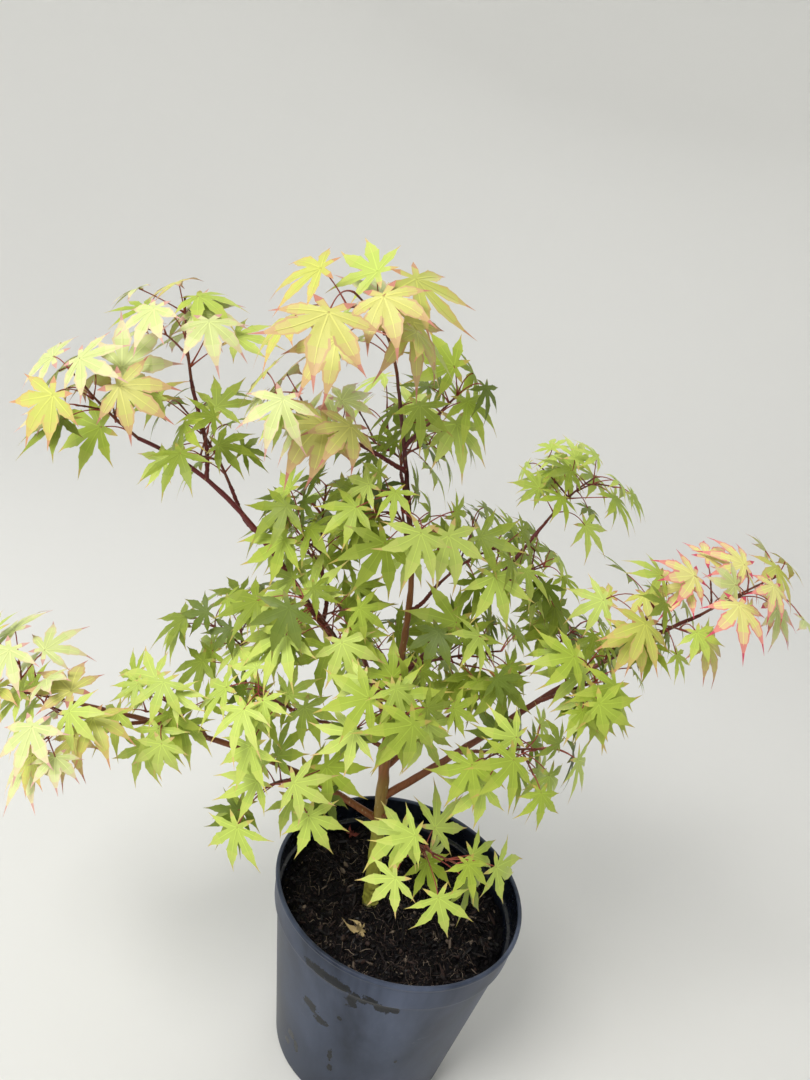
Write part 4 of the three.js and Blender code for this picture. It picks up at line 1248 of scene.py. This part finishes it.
class MAPLE_OT_compost(bpy.types.Operator):
    """Fill the pot with lumpy damp compost, loose crumbs, fibres and two fallen leaves"""
    bl_idname = "maple.compost"
    bl_label = "Compost"

    def execute(self, context):
        settings = context.scene.maple_soil
        lump = settings.roughness_height / MM
        piece = build_mesh("compost_fill", *soil_surface(lump), [soil_finish(settings)])
        finish_piece(piece, "soil", "soil")
        crumb_tints = [
            plain_finish("crumb_black", srgb(14, 11, 13), 0.4, 1500, 0.0002, Specular_IOR_Level=0.25),
            plain_finish("crumb_brown", srgb(30, 23, 23), 0.5, 1500, 0.0002, Specular_IOR_Level=0.25),
            plain_finish("crumb_bark", srgb(56, 42, 38), 0.6, 1200, 0.0002, Specular_IOR_Level=0.25),
            plain_finish("crumb_pale", srgb(118, 104, 92), 0.7, 1200, 0.0002, Specular_IOR_Level=0.25),
        ]
        vertices, faces, tints = make_crumbs(settings.crumbs, lump)
        piece = build_mesh("compost_crumbs", vertices, [faces], crumb_tints, tints, smooth=False)
        finish_piece(piece, "soil")
        fibre_tints = [
            plain_finish("fibre_dark", srgb(42, 30, 28), 0.7, 1500, 0.0001, Specular_IOR_Level=0.25),
            plain_finish("fibre_tan", srgb(88, 74, 66), 0.75, 1500, 0.0001),
            plain_finish("fibre_pale", srgb(150, 134, 116), 0.75, 1500, 0.0001),
        ]
        vertices, faces, tints = make_fibres(settings.fibres, lump)
        piece = build_mesh("compost_fibres", vertices, faces, fibre_tints, np.concatenate(tints))
        finish_piece(piece, "soil")
        fallen = [
            # Place, heading, length and curl of each fallen leaf, and its tint. Both lie tilted, deeply folded and
            # bent lobe by lobe.
            ((-22, -34), 4.2, 13, 0.3, ("fallen_beige", srgb(186, 164, 116))),
            ((-44, 64), 0.6, 10, 1.9, ("fallen_red", srgb(120, 52, 42))),
        ]
        for (x, y), heading, length, curl, (name, colour) in fallen:
            shape = LeafShape(fold=0.9)
            base = np.array([[x, y, float(soil_height(np.array(x), np.array(y), lump)) + FALLEN_LIFT]])
            normal = unit(np.array([[0.35, -0.5, 0.6]]))
            forward = np.array([[math.cos(heading), math.sin(heading), 0.4]])
            forward = unit(forward - normal * dot(forward, normal)[:, None])
            frame_of = (base, normal, forward, np.cross(normal, forward))
            lift = np.array([[1.5, -0.6, 1.8, 0.2, -1.2, 1.4, 0.3]])
            turn = np.array([[0.5, 1.2, 0.4, -0.9, -0.5, -1.2, 0.3]])
            vertices = shape.placed(*frame_of, np.array([length]), curl, lift, np.array([1.3]), turn)
            faces, _ = shape.faces_of(1)
            finish = plain_finish(name, colour, 0.75, 700, 0.0005)
            finish_piece(build_mesh(name + "_leaf", vertices, faces, [finish]), "leaves")
        return {"FINISHED"}


# Trunk and boughs.

TRUNK_RINGS = 300
TRUNK_SIDES = 30
BOUGH_RINGS = 44
BOUGH_SIDES = 12


def ringed(spots, width):
    """Raised rings round a limb at shares of its length, where old leaf pairs stood."""
    def height(share):
        return sum(np.exp(-(((share - spot) / width) ** 2)) for spot in spots)

    return height


def limb_rings(limb, rings, lead):
    """Points and radii along a limb's own curve, with a short lead inside its parent and a collar where it leaves."""
    t = np.linspace(0, 1, rings - 3)
    points = limb["curve"](t)
    radii = limb["radius_at"](t)
    inside = points[0] + (lead - points[0]) * np.array([[1.0], [0.66], [0.33]])
    points = np.concatenate([inside, points])
    radii = np.concatenate([radii[:1].repeat(3), radii])
    gone = np.concatenate([[0], np.cumsum(np.linalg.norm(np.diff(points, axis=0), axis=1))])
    return points, radii * (1 + 0.45 * np.exp(-gone / 3.5))


class MAPLE_OT_bark(bpy.types.Operator):
    """Grow the trunk and the boughs with the bark's ribs, pores and rings"""
    bl_idname = "maple.bark"
    bl_label = "Trunk and boughs"

    def execute(self, context):
        settings = context.scene.maple_bark
        limbs, _ = plant()
        relief = settings.relief / MM
        foot = tuple(settings.foot_colour)
        middle = tuple(settings.middle_colour)
        leader = tuple(settings.leader_colour)
        trunk = limbs["trunk"]
        t = np.linspace(0, 1, TRUNK_RINGS)
        points = trunk["curve"](t)
        radii = trunk["radius_at"](t)
        ribs = waves(41, 10, 2, 9)
        lumps = waves(42, 12, 1, 4)
        old_rings = ringed((0.05, 0.09, 0.16, 0.23, 0.31, 0.4, 0.47, 0.55, 0.63, 0.71, 0.8, 0.88, 0.95), 0.0028)

        def bark(angle, share, limb):
            # Ribs that run along the trunk, slow lumps and old rings, on a trunk slimmer than the rule's at its
            # foot, where low buttresses fade upwards, and along the leader.
            buttress = (0.5 * np.cos(3 * angle + 0.7) - 1.6) * np.exp(-share / 0.014) \
                - 0.9 * np.exp(-share / 0.15) - 0.5 * np.clip((share - 0.45) / 0.3, 0, 1)
            thin = 1 - 0.6 * share
            return relief * thin * (1.2 * ribs(angle, 30 * share) + 1.6 * lumps(angle, 60 * share)) \
                + 0.22 * thin * old_rings(share) + buttress

        vertices, faces = tubes(points[None], radii[None], TRUNK_SIDES, bark)
        stops = [(0.0, foot), (0.14, foot), (0.3, middle), (0.62, middle), (0.8, leader), (1.0, leader)]
        finish = bark_finish("trunk_bark", 0.131, 0.53, stops, srgb(96, 84, 44))
        piece = build_mesh("trunk_bark", vertices, faces, [finish])
        finish_piece(piece, "trunk_bark", "trunk")
        boughs = [limb for name, limb in limbs.items() if name != "trunk"]
        rows = [limb_rings(limb, BOUGH_RINGS, limb["root"]) for limb in boughs]
        points = np.array([row[0] for row in rows])
        radii = np.array([row[1] for row in rows])
        rings_at = ringed((0.18, 0.34, 0.5, 0.66, 0.82, 0.94), 0.012)
        bumps = waves(43, 12, 1, 5)

        def bough_bark(angle, share, limb):
            # Slow lumps that differ from bough to bough, and rings where leaf pairs stood.
            lumps_here = relief * (0.8 * bumps(angle, 24 * share + 3.1 * limb))
            return lumps_here + 0.16 * rings_at(share + 0.013 * (limb % 5))

        vertices, faces = tubes(points, radii, BOUGH_SIDES, bough_bark)
        stops = [(0.0, middle), (0.3, srgb(116, 60, 42)), (0.7, srgb(100, 32, 34)), (1.0, leader)]
        finish = bark_finish("bough_bark", 0.2, 0.52, stops, srgb(84, 40, 32))
        piece = build_mesh("bough_bark", vertices, faces, [finish])
        finish_piece(piece, "bough_bark", *[limb["name"] for limb in boughs])
        return {"FINISHED"}


# Twigs and stalks.

TWIG_RINGS = 20
TWIG_SIDES = 7
TWIG_SLIMNESS = 0.85
STALK_WIDTHS = np.array([0.78, 0.56, 0.44, 0.4, 0.38, 0.38, 0.38, 0.42, 0.5])
STALK_SIDES = 6


class MAPLE_OT_twigs(bpy.types.Operator):
    """Grow the twigs of every mass, and a stalk from its twig to each leaf"""
    bl_idname = "maple.twigs"
    bl_label = "Twigs and stalks"

    def execute(self, context):
        settings = context.scene.maple_twigs
        _, masses = plant()
        shoots = [shoot for mass in masses for shoot in mass["shoots"]]
        rows = []
        for path, radii in shoots:
            back = path[0] - unit(path[1] - path[0]) * (0.6 if len(path) > 2 else 0)
            rows.append(resample([back, *path], [radii[0], *radii], TWIG_RINGS, 0.03))
        draws = np.random.default_rng(51)
        points = np.array([row[0] for row in rows])
        radii = np.array([row[1] for row in rows])
        swelling = ringed((0.26, 0.5, 0.75, 0.97), 0.03)

        def nodes_swell(angle, share, limb):
            # A small swelling at each node.
            return 0.22 * swelling(share)

        vertices, faces = tubes(points, radii * TWIG_SLIMNESS, TWIG_SIDES, nodes_swell)
        finish = plain_finish("twig_skin", tuple(settings.twig_colour), 0.5, 900, 0.0002, Specular_IOR_Level=0.4)
        piece = build_mesh("twigs", vertices, faces, [finish])
        finish_piece(piece, "bough_bark")
        leaves = [leaf for mass in masses for leaf in mass["leaves"]]
        roots = np.array([leaf["root"] for leaf in leaves])
        hubs = np.array([leaf["hub"] for leaf in leaves])
        normals = np.array([leaf["normal"] for leaf in leaves])
        span = np.linalg.norm(hubs - roots, axis=1)[:, None]
        t = np.linspace(0, 1, len(STALK_WIDTHS))[None, :, None]
        sag = (UP * 0.1 + draws.normal(0, 0.05, (len(leaves), 3)))[:, None] * span[:, None]
        ends = hubs - normals * 0.25
        points = roots[:, None] * (1 - t) + ends[:, None] * t + sag * 4 * t * (1 - t)
        width = np.repeat(STALK_WIDTHS[None], len(leaves), axis=0)
        vertices, faces = tubes(points, width, STALK_SIDES)
        finish = plain_finish("stalk_skin", tuple(settings.stalk_colour), 0.42, 900, 0.0001, Specular_IOR_Level=0.5)
        piece = build_mesh("leaf_stalks", vertices, faces, [finish])
        finish_piece(piece, "leaves")
        return {"FINISHED"}


# Leaves.

class LeafShape:
    """One blade in shares of its middle lobe's length: five long toothed lobes and two small ones at the back, each
    with a midrib, round a hub. Each lobe's edge is a row of stations (share along the lobe, half width as a share of
    its length). The blade falls with the square of the distance from the hub and rises from the midribs to the
    edges. With a margin, the outer part of every lobe is a strip of faces of its own. From near half way along, that
    strip takes the margin's colour, and so does the whole lobe just before its tip."""

    ANGLES = (-134, -84, -41, 0, 41, 84, 134)
    LENGTHS = (0.35, 0.7, 0.93, 1.0, 0.93, 0.7, 0.35)
    NOTCH = 0.27
    BACK_NOTCH = 1.3
    SHORT_BELOW = 0.5
    SHORT_START = 0.13
    LONG_START = 0.27
    LONG_EDGE = ((0.36, 0.113), (0.49, 0.146), (0.525, 0.122), (0.64, 0.1), (0.675, 0.074), (0.81, 0.026))
    SHORT_EDGE = ((0.6, 0.15),)
    RIB_SHARES = (0.03, 0.27, 0.49, 0.7)
    RIB_HALF = (0.011, 0.009, 0.007, 0.003)
    RIB_LIFT = 0.0065

    def __init__(self, fold=0.16, margin=None):
        self.fold = fold
        shares = (0, 1) if margin is None else (0, 1 - margin, 1)
        # Each corner: its place along the lobe's axis, its place off that axis, its distance off the midrib, its
        # lobe and its extra lift.
        self.rows = [(0, 0, 0, 0, 0.0, 3, 0)]
        polygons, zones = [], []
        notches = []
        for i in range(len(self.ANGLES) - 1):
            halfway = math.radians((self.ANGLES[i] + self.ANGLES[i + 1]) / 2)
            reach = self.NOTCH * min(self.LENGTHS[i], self.LENGTHS[i + 1]) * (self.BACK_NOTCH if i in (0, 5) else 1)
            notches.append(self.corner(reach * math.cos(halfway), reach * math.sin(halfway), 0, 0, 0.1, i))
        back = self.corner(-0.06, 0, 0, 0, 0.03, 0)
        ring = [back, *notches, back]
        for i, (degrees, length) in enumerate(zip(self.ANGLES, self.LENGTHS)):
            c, s = math.cos(math.radians(degrees)), math.sin(math.radians(degrees))
            short = length < self.SHORT_BELOW
            start = self.SHORT_START if short else self.LONG_START * length
            middle = self.corner(start * c, start * s, 0, 0, 0, i)
            sides = []
            for notch in (ring[i], ring[i + 1]):
                x, y = self.rows[notch][0], self.rows[notch][1]
                between = [
                    self.corner(start * c + (x - start * c) * share, start * s + (y - start * s) * share, 0, 0,
                                0.1 * share, i)
                    for share in shares[1:-1]
                ]
                sides.append([middle, *between, notch])
            for sign, side in zip((1, -1), sides):
                for a, b in zip(side, side[1:]):
                    polygons.append((0, a, b)[::-sign])
                    zones.append(0)
            edge = self.SHORT_EDGE if short else self.LONG_EDGE
            for share, half in edge:
                along, beside = share * length, half * length
                middle = self.corner(along * c, along * s, 0, 0, 0, i)
                zone = 0 if share < 0.5 else 1 if share < 0.7 or margin is None else 4
                following = []
                for sign, side in zip((1, -1), sides):
                    row = [middle] + [
                        self.corner(along * c, along * s, sign * beside * part * s, -sign * beside * part * c,
                                    beside * part, i)
                        for part in shares[1:]
                    ]
                    for k in range(len(shares) - 1):
                        polygons.append((side[k], row[k], row[k + 1], side[k + 1])[::-sign])
                        zones.append(4 if margin is not None and k == len(shares) - 2 and share > 0.45 else zone)
                    following.append(row)
                sides = following
            tip = self.corner(length * c, length * s, 0, 0, 0, i)
            for sign, side in zip((1, -1), sides):
                for a, b in zip(side, side[1:]):
                    polygons.append((a, tip, b)[::-sign])
                    zones.append(2)
            if short:
                continue
            ribs = [
                [self.corner(share * length * c, share * length * s, sign * half * s, -sign * half * c, 0, i,
                             self.RIB_LIFT)
                 for sign in (1, -1)]
                for share, half in zip(self.RIB_SHARES, self.RIB_HALF)
            ]
            for (a, b), (d, e) in zip(ribs, ribs[1:]):
                polygons.append((a, d, e, b))
                zones.append(3)
        places = np.array(self.rows)
        self.axis, self.beside = places[:, 0:2], places[:, 2:4]
        self.off_rib, self.lobe, self.lift = places[:, 4], places[:, 5].astype(int), places[:, 6]
        self.quads = np.array([p for p in polygons if len(p) == 4])
        self.triangles = np.array([p for p in polygons if len(p) == 3])
        self.quad_zones = np.array([z for p, z in zip(polygons, zones) if len(p) == 4])
        self.triangle_zones = np.array([z for p, z in zip(polygons, zones) if len(p) == 3])

    def corner(self, x, y, beside_x, beside_y, off_rib, lobe, lift=0.0):
        self.rows.append((x, y, beside_x, beside_y, off_rib, lobe, lift))
        return len(self.rows) - 1

    def placed(self, hub, normal, forward, side, length, droop, lift, width, turn):
        """Corners of many blades. droop is the fall at the middle tip as a share of length, lift the extra rise of
        each lobe of each leaf, width a factor on its lobes' width, turn a bend of each lobe to one side."""
        place = self.axis[None] + self.beside[None] * width[:, None, None]
        x, y = place[..., 0], place[..., 1]
        reach = np.hypot(x, y)
        bend = turn[:, self.lobe] * reach ** 2
        x, y = x - bend * y, y + bend * x
        fall = droop * reach ** 2 * (0.75 + 0.25 * reach)
        rise = self.fold * self.off_rib + self.lift - fall + lift[:, self.lobe] * reach ** 2
        shift = forward[:, None] * x[..., None] + side[:, None] * y[..., None] + normal[:, None] * rise[..., None]
        return (hub[:, None] + shift * length[:, None, None]).reshape(-1, 3)

    def faces_of(self, count):
        """Face corners of a number of blades and the zone of each face: inner, outer, tip, rib or margin."""
        shift = (np.arange(count) * len(self.rows))[:, None, None]
        faces = [(self.quads[None] + shift).reshape(-1, 4), (self.triangles[None] + shift).reshape(-1, 3)]
        return faces, [np.tile(self.quad_zones, count), np.tile(self.triangle_zones, count)]


# Blade tints: inner, outer, tip and margin colours of each kind of leaf.
# The tints are partly the leaves' own colours and partly painted light: brighter and yellower than the blades, for
# light shining through them.
TINTS = {
    "deep": (srgb(100, 118, 34), srgb(106, 122, 38), srgb(124, 122, 48), srgb(106, 122, 38)),
    "green": (srgb(130, 147, 45), srgb(140, 155, 52), srgb(158, 147, 66), srgb(140, 155, 52)),
    "lime": (srgb(160, 180, 62), srgb(171, 186, 70), srgb(188, 170, 84), srgb(171, 186, 70)),
    "fresh": (srgb(180, 200, 88), srgb(190, 204, 94), srgb(200, 186, 102), srgb(190, 204, 94)),
    "bright": (srgb(190, 208, 100), srgb(198, 210, 108), srgb(208, 182, 116), srgb(198, 204, 108)),
    "gold": (srgb(200, 204, 98), srgb(204, 200, 104), srgb(204, 150, 106), srgb(208, 186, 108)),
    # Cream is partly the pale leaves' own colour and partly a painted sheen.
    "cream": (srgb(206, 216, 142), srgb(216, 220, 156), srgb(208, 160, 148), srgb(220, 206, 162)),
    "peach": (srgb(206, 204, 114), srgb(208, 194, 120), srgb(194, 130, 112), srgb(204, 170, 120)),
    "rose": (srgb(228, 222, 138), srgb(234, 202, 150), srgb(208, 80, 104), srgb(228, 144, 134)),
}
MARGINED = ("gold", "cream", "peach", "rose")
MARGIN_SHARE = 0.24
LOW_IN_SPRAY = 14
GREENER_IN_SHADE_SHARE = 0.5
# How likely each tint is in the sprays of each kind.
SPRAY_MIX = {
    "green": {"green": 0.4, "lime": 0.35, "deep": 0.1, "fresh": 0.15},
    "lime": {"lime": 0.36, "fresh": 0.22, "bright": 0.17, "green": 0.25},
    "gold": {"gold": 0.35, "bright": 0.35, "peach": 0.1, "lime": 0.2},
    "cream": {"cream": 0.5, "bright": 0.22, "gold": 0.13, "peach": 0.15},
    "peach": {"peach": 0.5, "gold": 0.2, "cream": 0.2, "bright": 0.1},
    "rose": {"rose": 0.7, "cream": 0.1, "gold": 0.1, "peach": 0.1},
    # Sunlit sprays take the paler, brighter tints: painted light.
    "sunlit": {"bright": 0.25, "fresh": 0.4, "lime": 0.35},
    # Finer leaves in shade: greener and darker tints, partly their own colour and partly painted shade.
    "inner": {"green": 0.4, "deep": 0.3, "lime": 0.3},
}


def tint_of(leaf, middle, draws):
    """The tint of one leaf by its spray's mix. Leaves low in a spray of any kind but green are dealt out as lime. Half
    of the finer ones, which stand in shade, are a kind greener and darker, partly their own colour and partly painted
    shade, apart from those dealt out as rose."""
    kind = leaf["tint"]
    below = middle[2] - leaf["hub"][2]
    if kind not in ("green", "lime") and below > LOW_IN_SPRAY:
        kind = "lime"
    if leaf["fine"] and kind != "rose" and draws.uniform() < GREENER_IN_SHADE_SHARE:
        kind = "inner" if kind in ("green", "lime") else "lime"
    names = list(SPRAY_MIX[kind])
    return names[draws.choice(len(names), p=list(SPRAY_MIX[kind].values()))]


class MAPLE_OT_leaves(bpy.types.Operator):
    """Set a drooping toothed leaf on every stalk and deal out the autumn tints by spray"""
    bl_idname = "maple.leaves"
    bl_label = "Leaves"

    def execute(self, context):
        settings = context.scene.maple_leaves
        _, masses = plant()
        draws = np.random.default_rng(61)
        middles = {row[0]: np.array(row[1], float) for row in MASSES}
        plain = LeafShape(settings.fold)
        margined = LeafShape(settings.fold, MARGIN_SHARE)
        by_tint = {name: [] for name in TINTS}
        for mass in masses:
            for leaf in mass["leaves"]:
                by_tint[tint_of(leaf, middles[mass["name"]], draws)].append(leaf)
        for name, leaves in by_tint.items():
            inner, outer, tip, margin = TINTS[name]
            rib = tuple(min(0.9, part * (1 + settings.vein_paleness) + 0.005) for part in inner)
            finishes = [
                plain_finish(f"leaf_{name}_{zone}", colour, 0.44, 1300, 0.00015, Specular_IOR_Level=0.34)
                for zone, colour in zip(("inner", "outer", "tip", "rib", "margin"), (inner, outer, tip, rib, margin))
            ]
            shape = margined if name in MARGINED else plain
            hub, normal, forward, side, length = (
                np.array([leaf[key] for leaf in leaves]) for key in ("hub", "normal", "forward", "side", "length")
            )
            length = length * settings.blade_size
            count = len(leaves)
            lift = draws.normal(0, 0.07, (count, 7))
            droop = LEAF_DROOP + draws.uniform(-0.06, 0.2, (count, 1))
            width = draws.uniform(0.82, 1.12, count) * (1.08 if name in MARGINED else 0.93)
            turn = draws.normal(0, 0.12, (count, 7))
            vertices = shape.placed(hub, normal, forward, side, length, droop, lift, width, turn)
            faces, zones = shape.faces_of(count)
            piece = build_mesh(f"leaves_{name}", vertices, faces, finishes, np.concatenate(zones))
            nodes = ["leaves_" + row[0] for row in MASSES] if name == "lime" else []
            finish_piece(piece, "leaves", *nodes)
        return {"FINISHED"}


# Stage.

CAMERA_PLACE = (-0.05567, -0.49362, 0.60326)
CAMERA_RIGHT = (0.9736, 0.0780, 0.2148)
CAMERA_DOWN = (0.2285, -0.3325, -0.9150)
CAMERA_AHEAD = (0.0, 0.9399, -0.3415)
FOCAL_SHARE = 811 / 1080
FLOOR_GAP = 0.0004
FLOOR_COLUMNS = 96
FLOOR_FLAT = 1.5
FLOOR_SWEEP = 1.5
FLOOR_RISE = 3.2


class MAPLE_OT_stage(bpy.types.Operator):
    """Set out the pale floor, the soft lights and the camera"""
    bl_idname = "maple.stage"
    bl_label = "Stage"

    def execute(self, context):
        settings = context.scene.maple_stage
        scene = context.scene
        # The floor is a flat disc that sweeps up all round into a plain backdrop.
        bend = np.radians(np.arange(10, 91, 10))
        across = np.array([0.5, FLOOR_FLAT, *(FLOOR_FLAT + FLOOR_SWEEP * np.sin(bend)), FLOOR_FLAT + FLOOR_SWEEP])
        rise = np.array([0, 0, *(FLOOR_SWEEP - FLOOR_SWEEP * np.cos(bend)), FLOOR_RISE])
        angle = np.arange(FLOOR_COLUMNS) * 2 * np.pi / FLOOR_COLUMNS
        x, y = across[:, None] * np.cos(angle), across[:, None] * np.sin(angle)
        ring = np.stack([x, y, np.repeat(rise[:, None], FLOOR_COLUMNS, axis=1)], -1)
        vertices = (np.concatenate([ring.reshape(-1, 3), [[0, 0, 0]]]) + np.array([0, 0, -FLOOR_GAP])) / MM
        rows = len(across)
        j = np.arange(FLOOR_COLUMNS)
        middle = np.full(FLOOR_COLUMNS, rows * FLOOR_COLUMNS)
        faces = [
            grid_faces(rows, FLOOR_COLUMNS)[:, ::-1],
            np.stack([middle, j, (j + 1) % FLOOR_COLUMNS], axis=1),
        ]
        finish = plain_finish("floor_paint", tuple(settings.floor_colour), 0.7, 40, 0.0)
        floor = build_mesh("floor", vertices, faces, [finish])
        world = bpy.data.worlds.new("soft_sky")
        world.use_nodes = True
        background = world.node_tree.nodes["Background"]
        background.inputs["Color"].default_value = (0.92, 0.93, 0.94, 1)
        background.inputs["Strength"].default_value = 0.38
        scene.world = world
        aim = np.array([-0.05, 0, 0.3])
        lights = (
            ("key_light", (-1.2, -1.3, 2.5), 1.3, settings.key_strength, (1.0, 0.98, 0.94)),
            ("fill_light", (-2.0, -0.9, 1.4), 1.4, settings.fill_strength, (0.93, 0.96, 1.0)),
            ("back_light", (0.3, 2.0, 2.2), 1.6, settings.fill_strength, (1.0, 1.0, 1.0)),
        )
        for name, place, size, power, colour in lights:
            data = bpy.data.lights.new(name, "AREA")
            data.shape = "DISK"
            data.size = size
            data.energy = power
            data.color = colour
            lamp = bpy.data.objects.new(name, data)
            scene.collection.objects.link(lamp)
            lamp.matrix_world = look_from(np.array(place), aim)
        scene.view_settings.view_transform = "Standard"
        scene.view_settings.look = "None"
        data = bpy.data.cameras.new("camera")
        data.sensor_fit = "VERTICAL"
        data.sensor_height = 36
        data.lens = 36 * FOCAL_SHARE
        data.clip_start = 0.01
        data.clip_end = 50
        camera = bpy.data.objects.new("camera", data)
        scene.collection.objects.link(camera)
        right, down, ahead = (Vector(v).normalized() for v in (CAMERA_RIGHT, CAMERA_DOWN, CAMERA_AHEAD))
        turn = Matrix((right, -down, -ahead)).transposed().to_4x4()
        camera.matrix_world = Matrix.Translation(CAMERA_PLACE) @ turn
        scene.camera = camera
        return {"FINISHED"}


def look_from(place, aim):
    """A frame at a place whose -Z looks at an aim."""
    ahead = Vector(aim - place).normalized()
    return Matrix.Translation(Vector(place)) @ ahead.to_track_quat("-Z", "Y").to_matrix().to_4x4()


# Panel.

SETTINGS = (
    ("maple_pot", MaplePotSettings, "maple.pot"),
    ("maple_soil", MapleSoilSettings, "maple.compost"),
    ("maple_bark", MapleBarkSettings, "maple.bark"),
    ("maple_twigs", MapleTwigSettings, "maple.twigs"),
    ("maple_leaves", MapleLeafSettings, "maple.leaves"),
    ("maple_stage", MapleStageSettings, "maple.stage"),
)


class MAPLE_PT_parts(bpy.types.Panel):
    """The plant's pieces, each with its settings"""
    bl_label = "Potted maple"
    bl_idname = "MAPLE_PT_parts"
    bl_space_type = "VIEW_3D"
    bl_region_type = "UI"
    bl_category = "Maple"

    def draw(self, context):
        for key, group, operator in SETTINGS:
            box = self.layout.box()
            box.operator(operator)
            for name in group.__annotations__:
                box.prop(getattr(context.scene, key), name)


OPERATORS = (MAPLE_OT_pot, MAPLE_OT_compost, MAPLE_OT_bark, MAPLE_OT_twigs, MAPLE_OT_leaves, MAPLE_OT_stage)


def register():
    for key, group, _ in SETTINGS:
        bpy.utils.register_class(group)
        setattr(bpy.types.Scene, key, bpy.props.PointerProperty(type=group))
    for operator in OPERATORS:
        bpy.utils.register_class(operator)
    bpy.utils.register_class(MAPLE_PT_parts)


def unregister():
    bpy.utils.unregister_class(MAPLE_PT_parts)
    for operator in reversed(OPERATORS):
        bpy.utils.unregister_class(operator)
    for key, group, _ in reversed(SETTINGS):
        delattr(bpy.types.Scene, key)
        bpy.utils.unregister_class(group)


def main():
    register()
    for operator in (bpy.ops.maple.stage, bpy.ops.maple.pot, bpy.ops.maple.compost, bpy.ops.maple.bark,
                     bpy.ops.maple.twigs, bpy.ops.maple.leaves):
        if operator() != {"FINISHED"}:
            raise RuntimeError(f"{operator.idname()} did not finish")


if __name__ == "__main__":
    main()
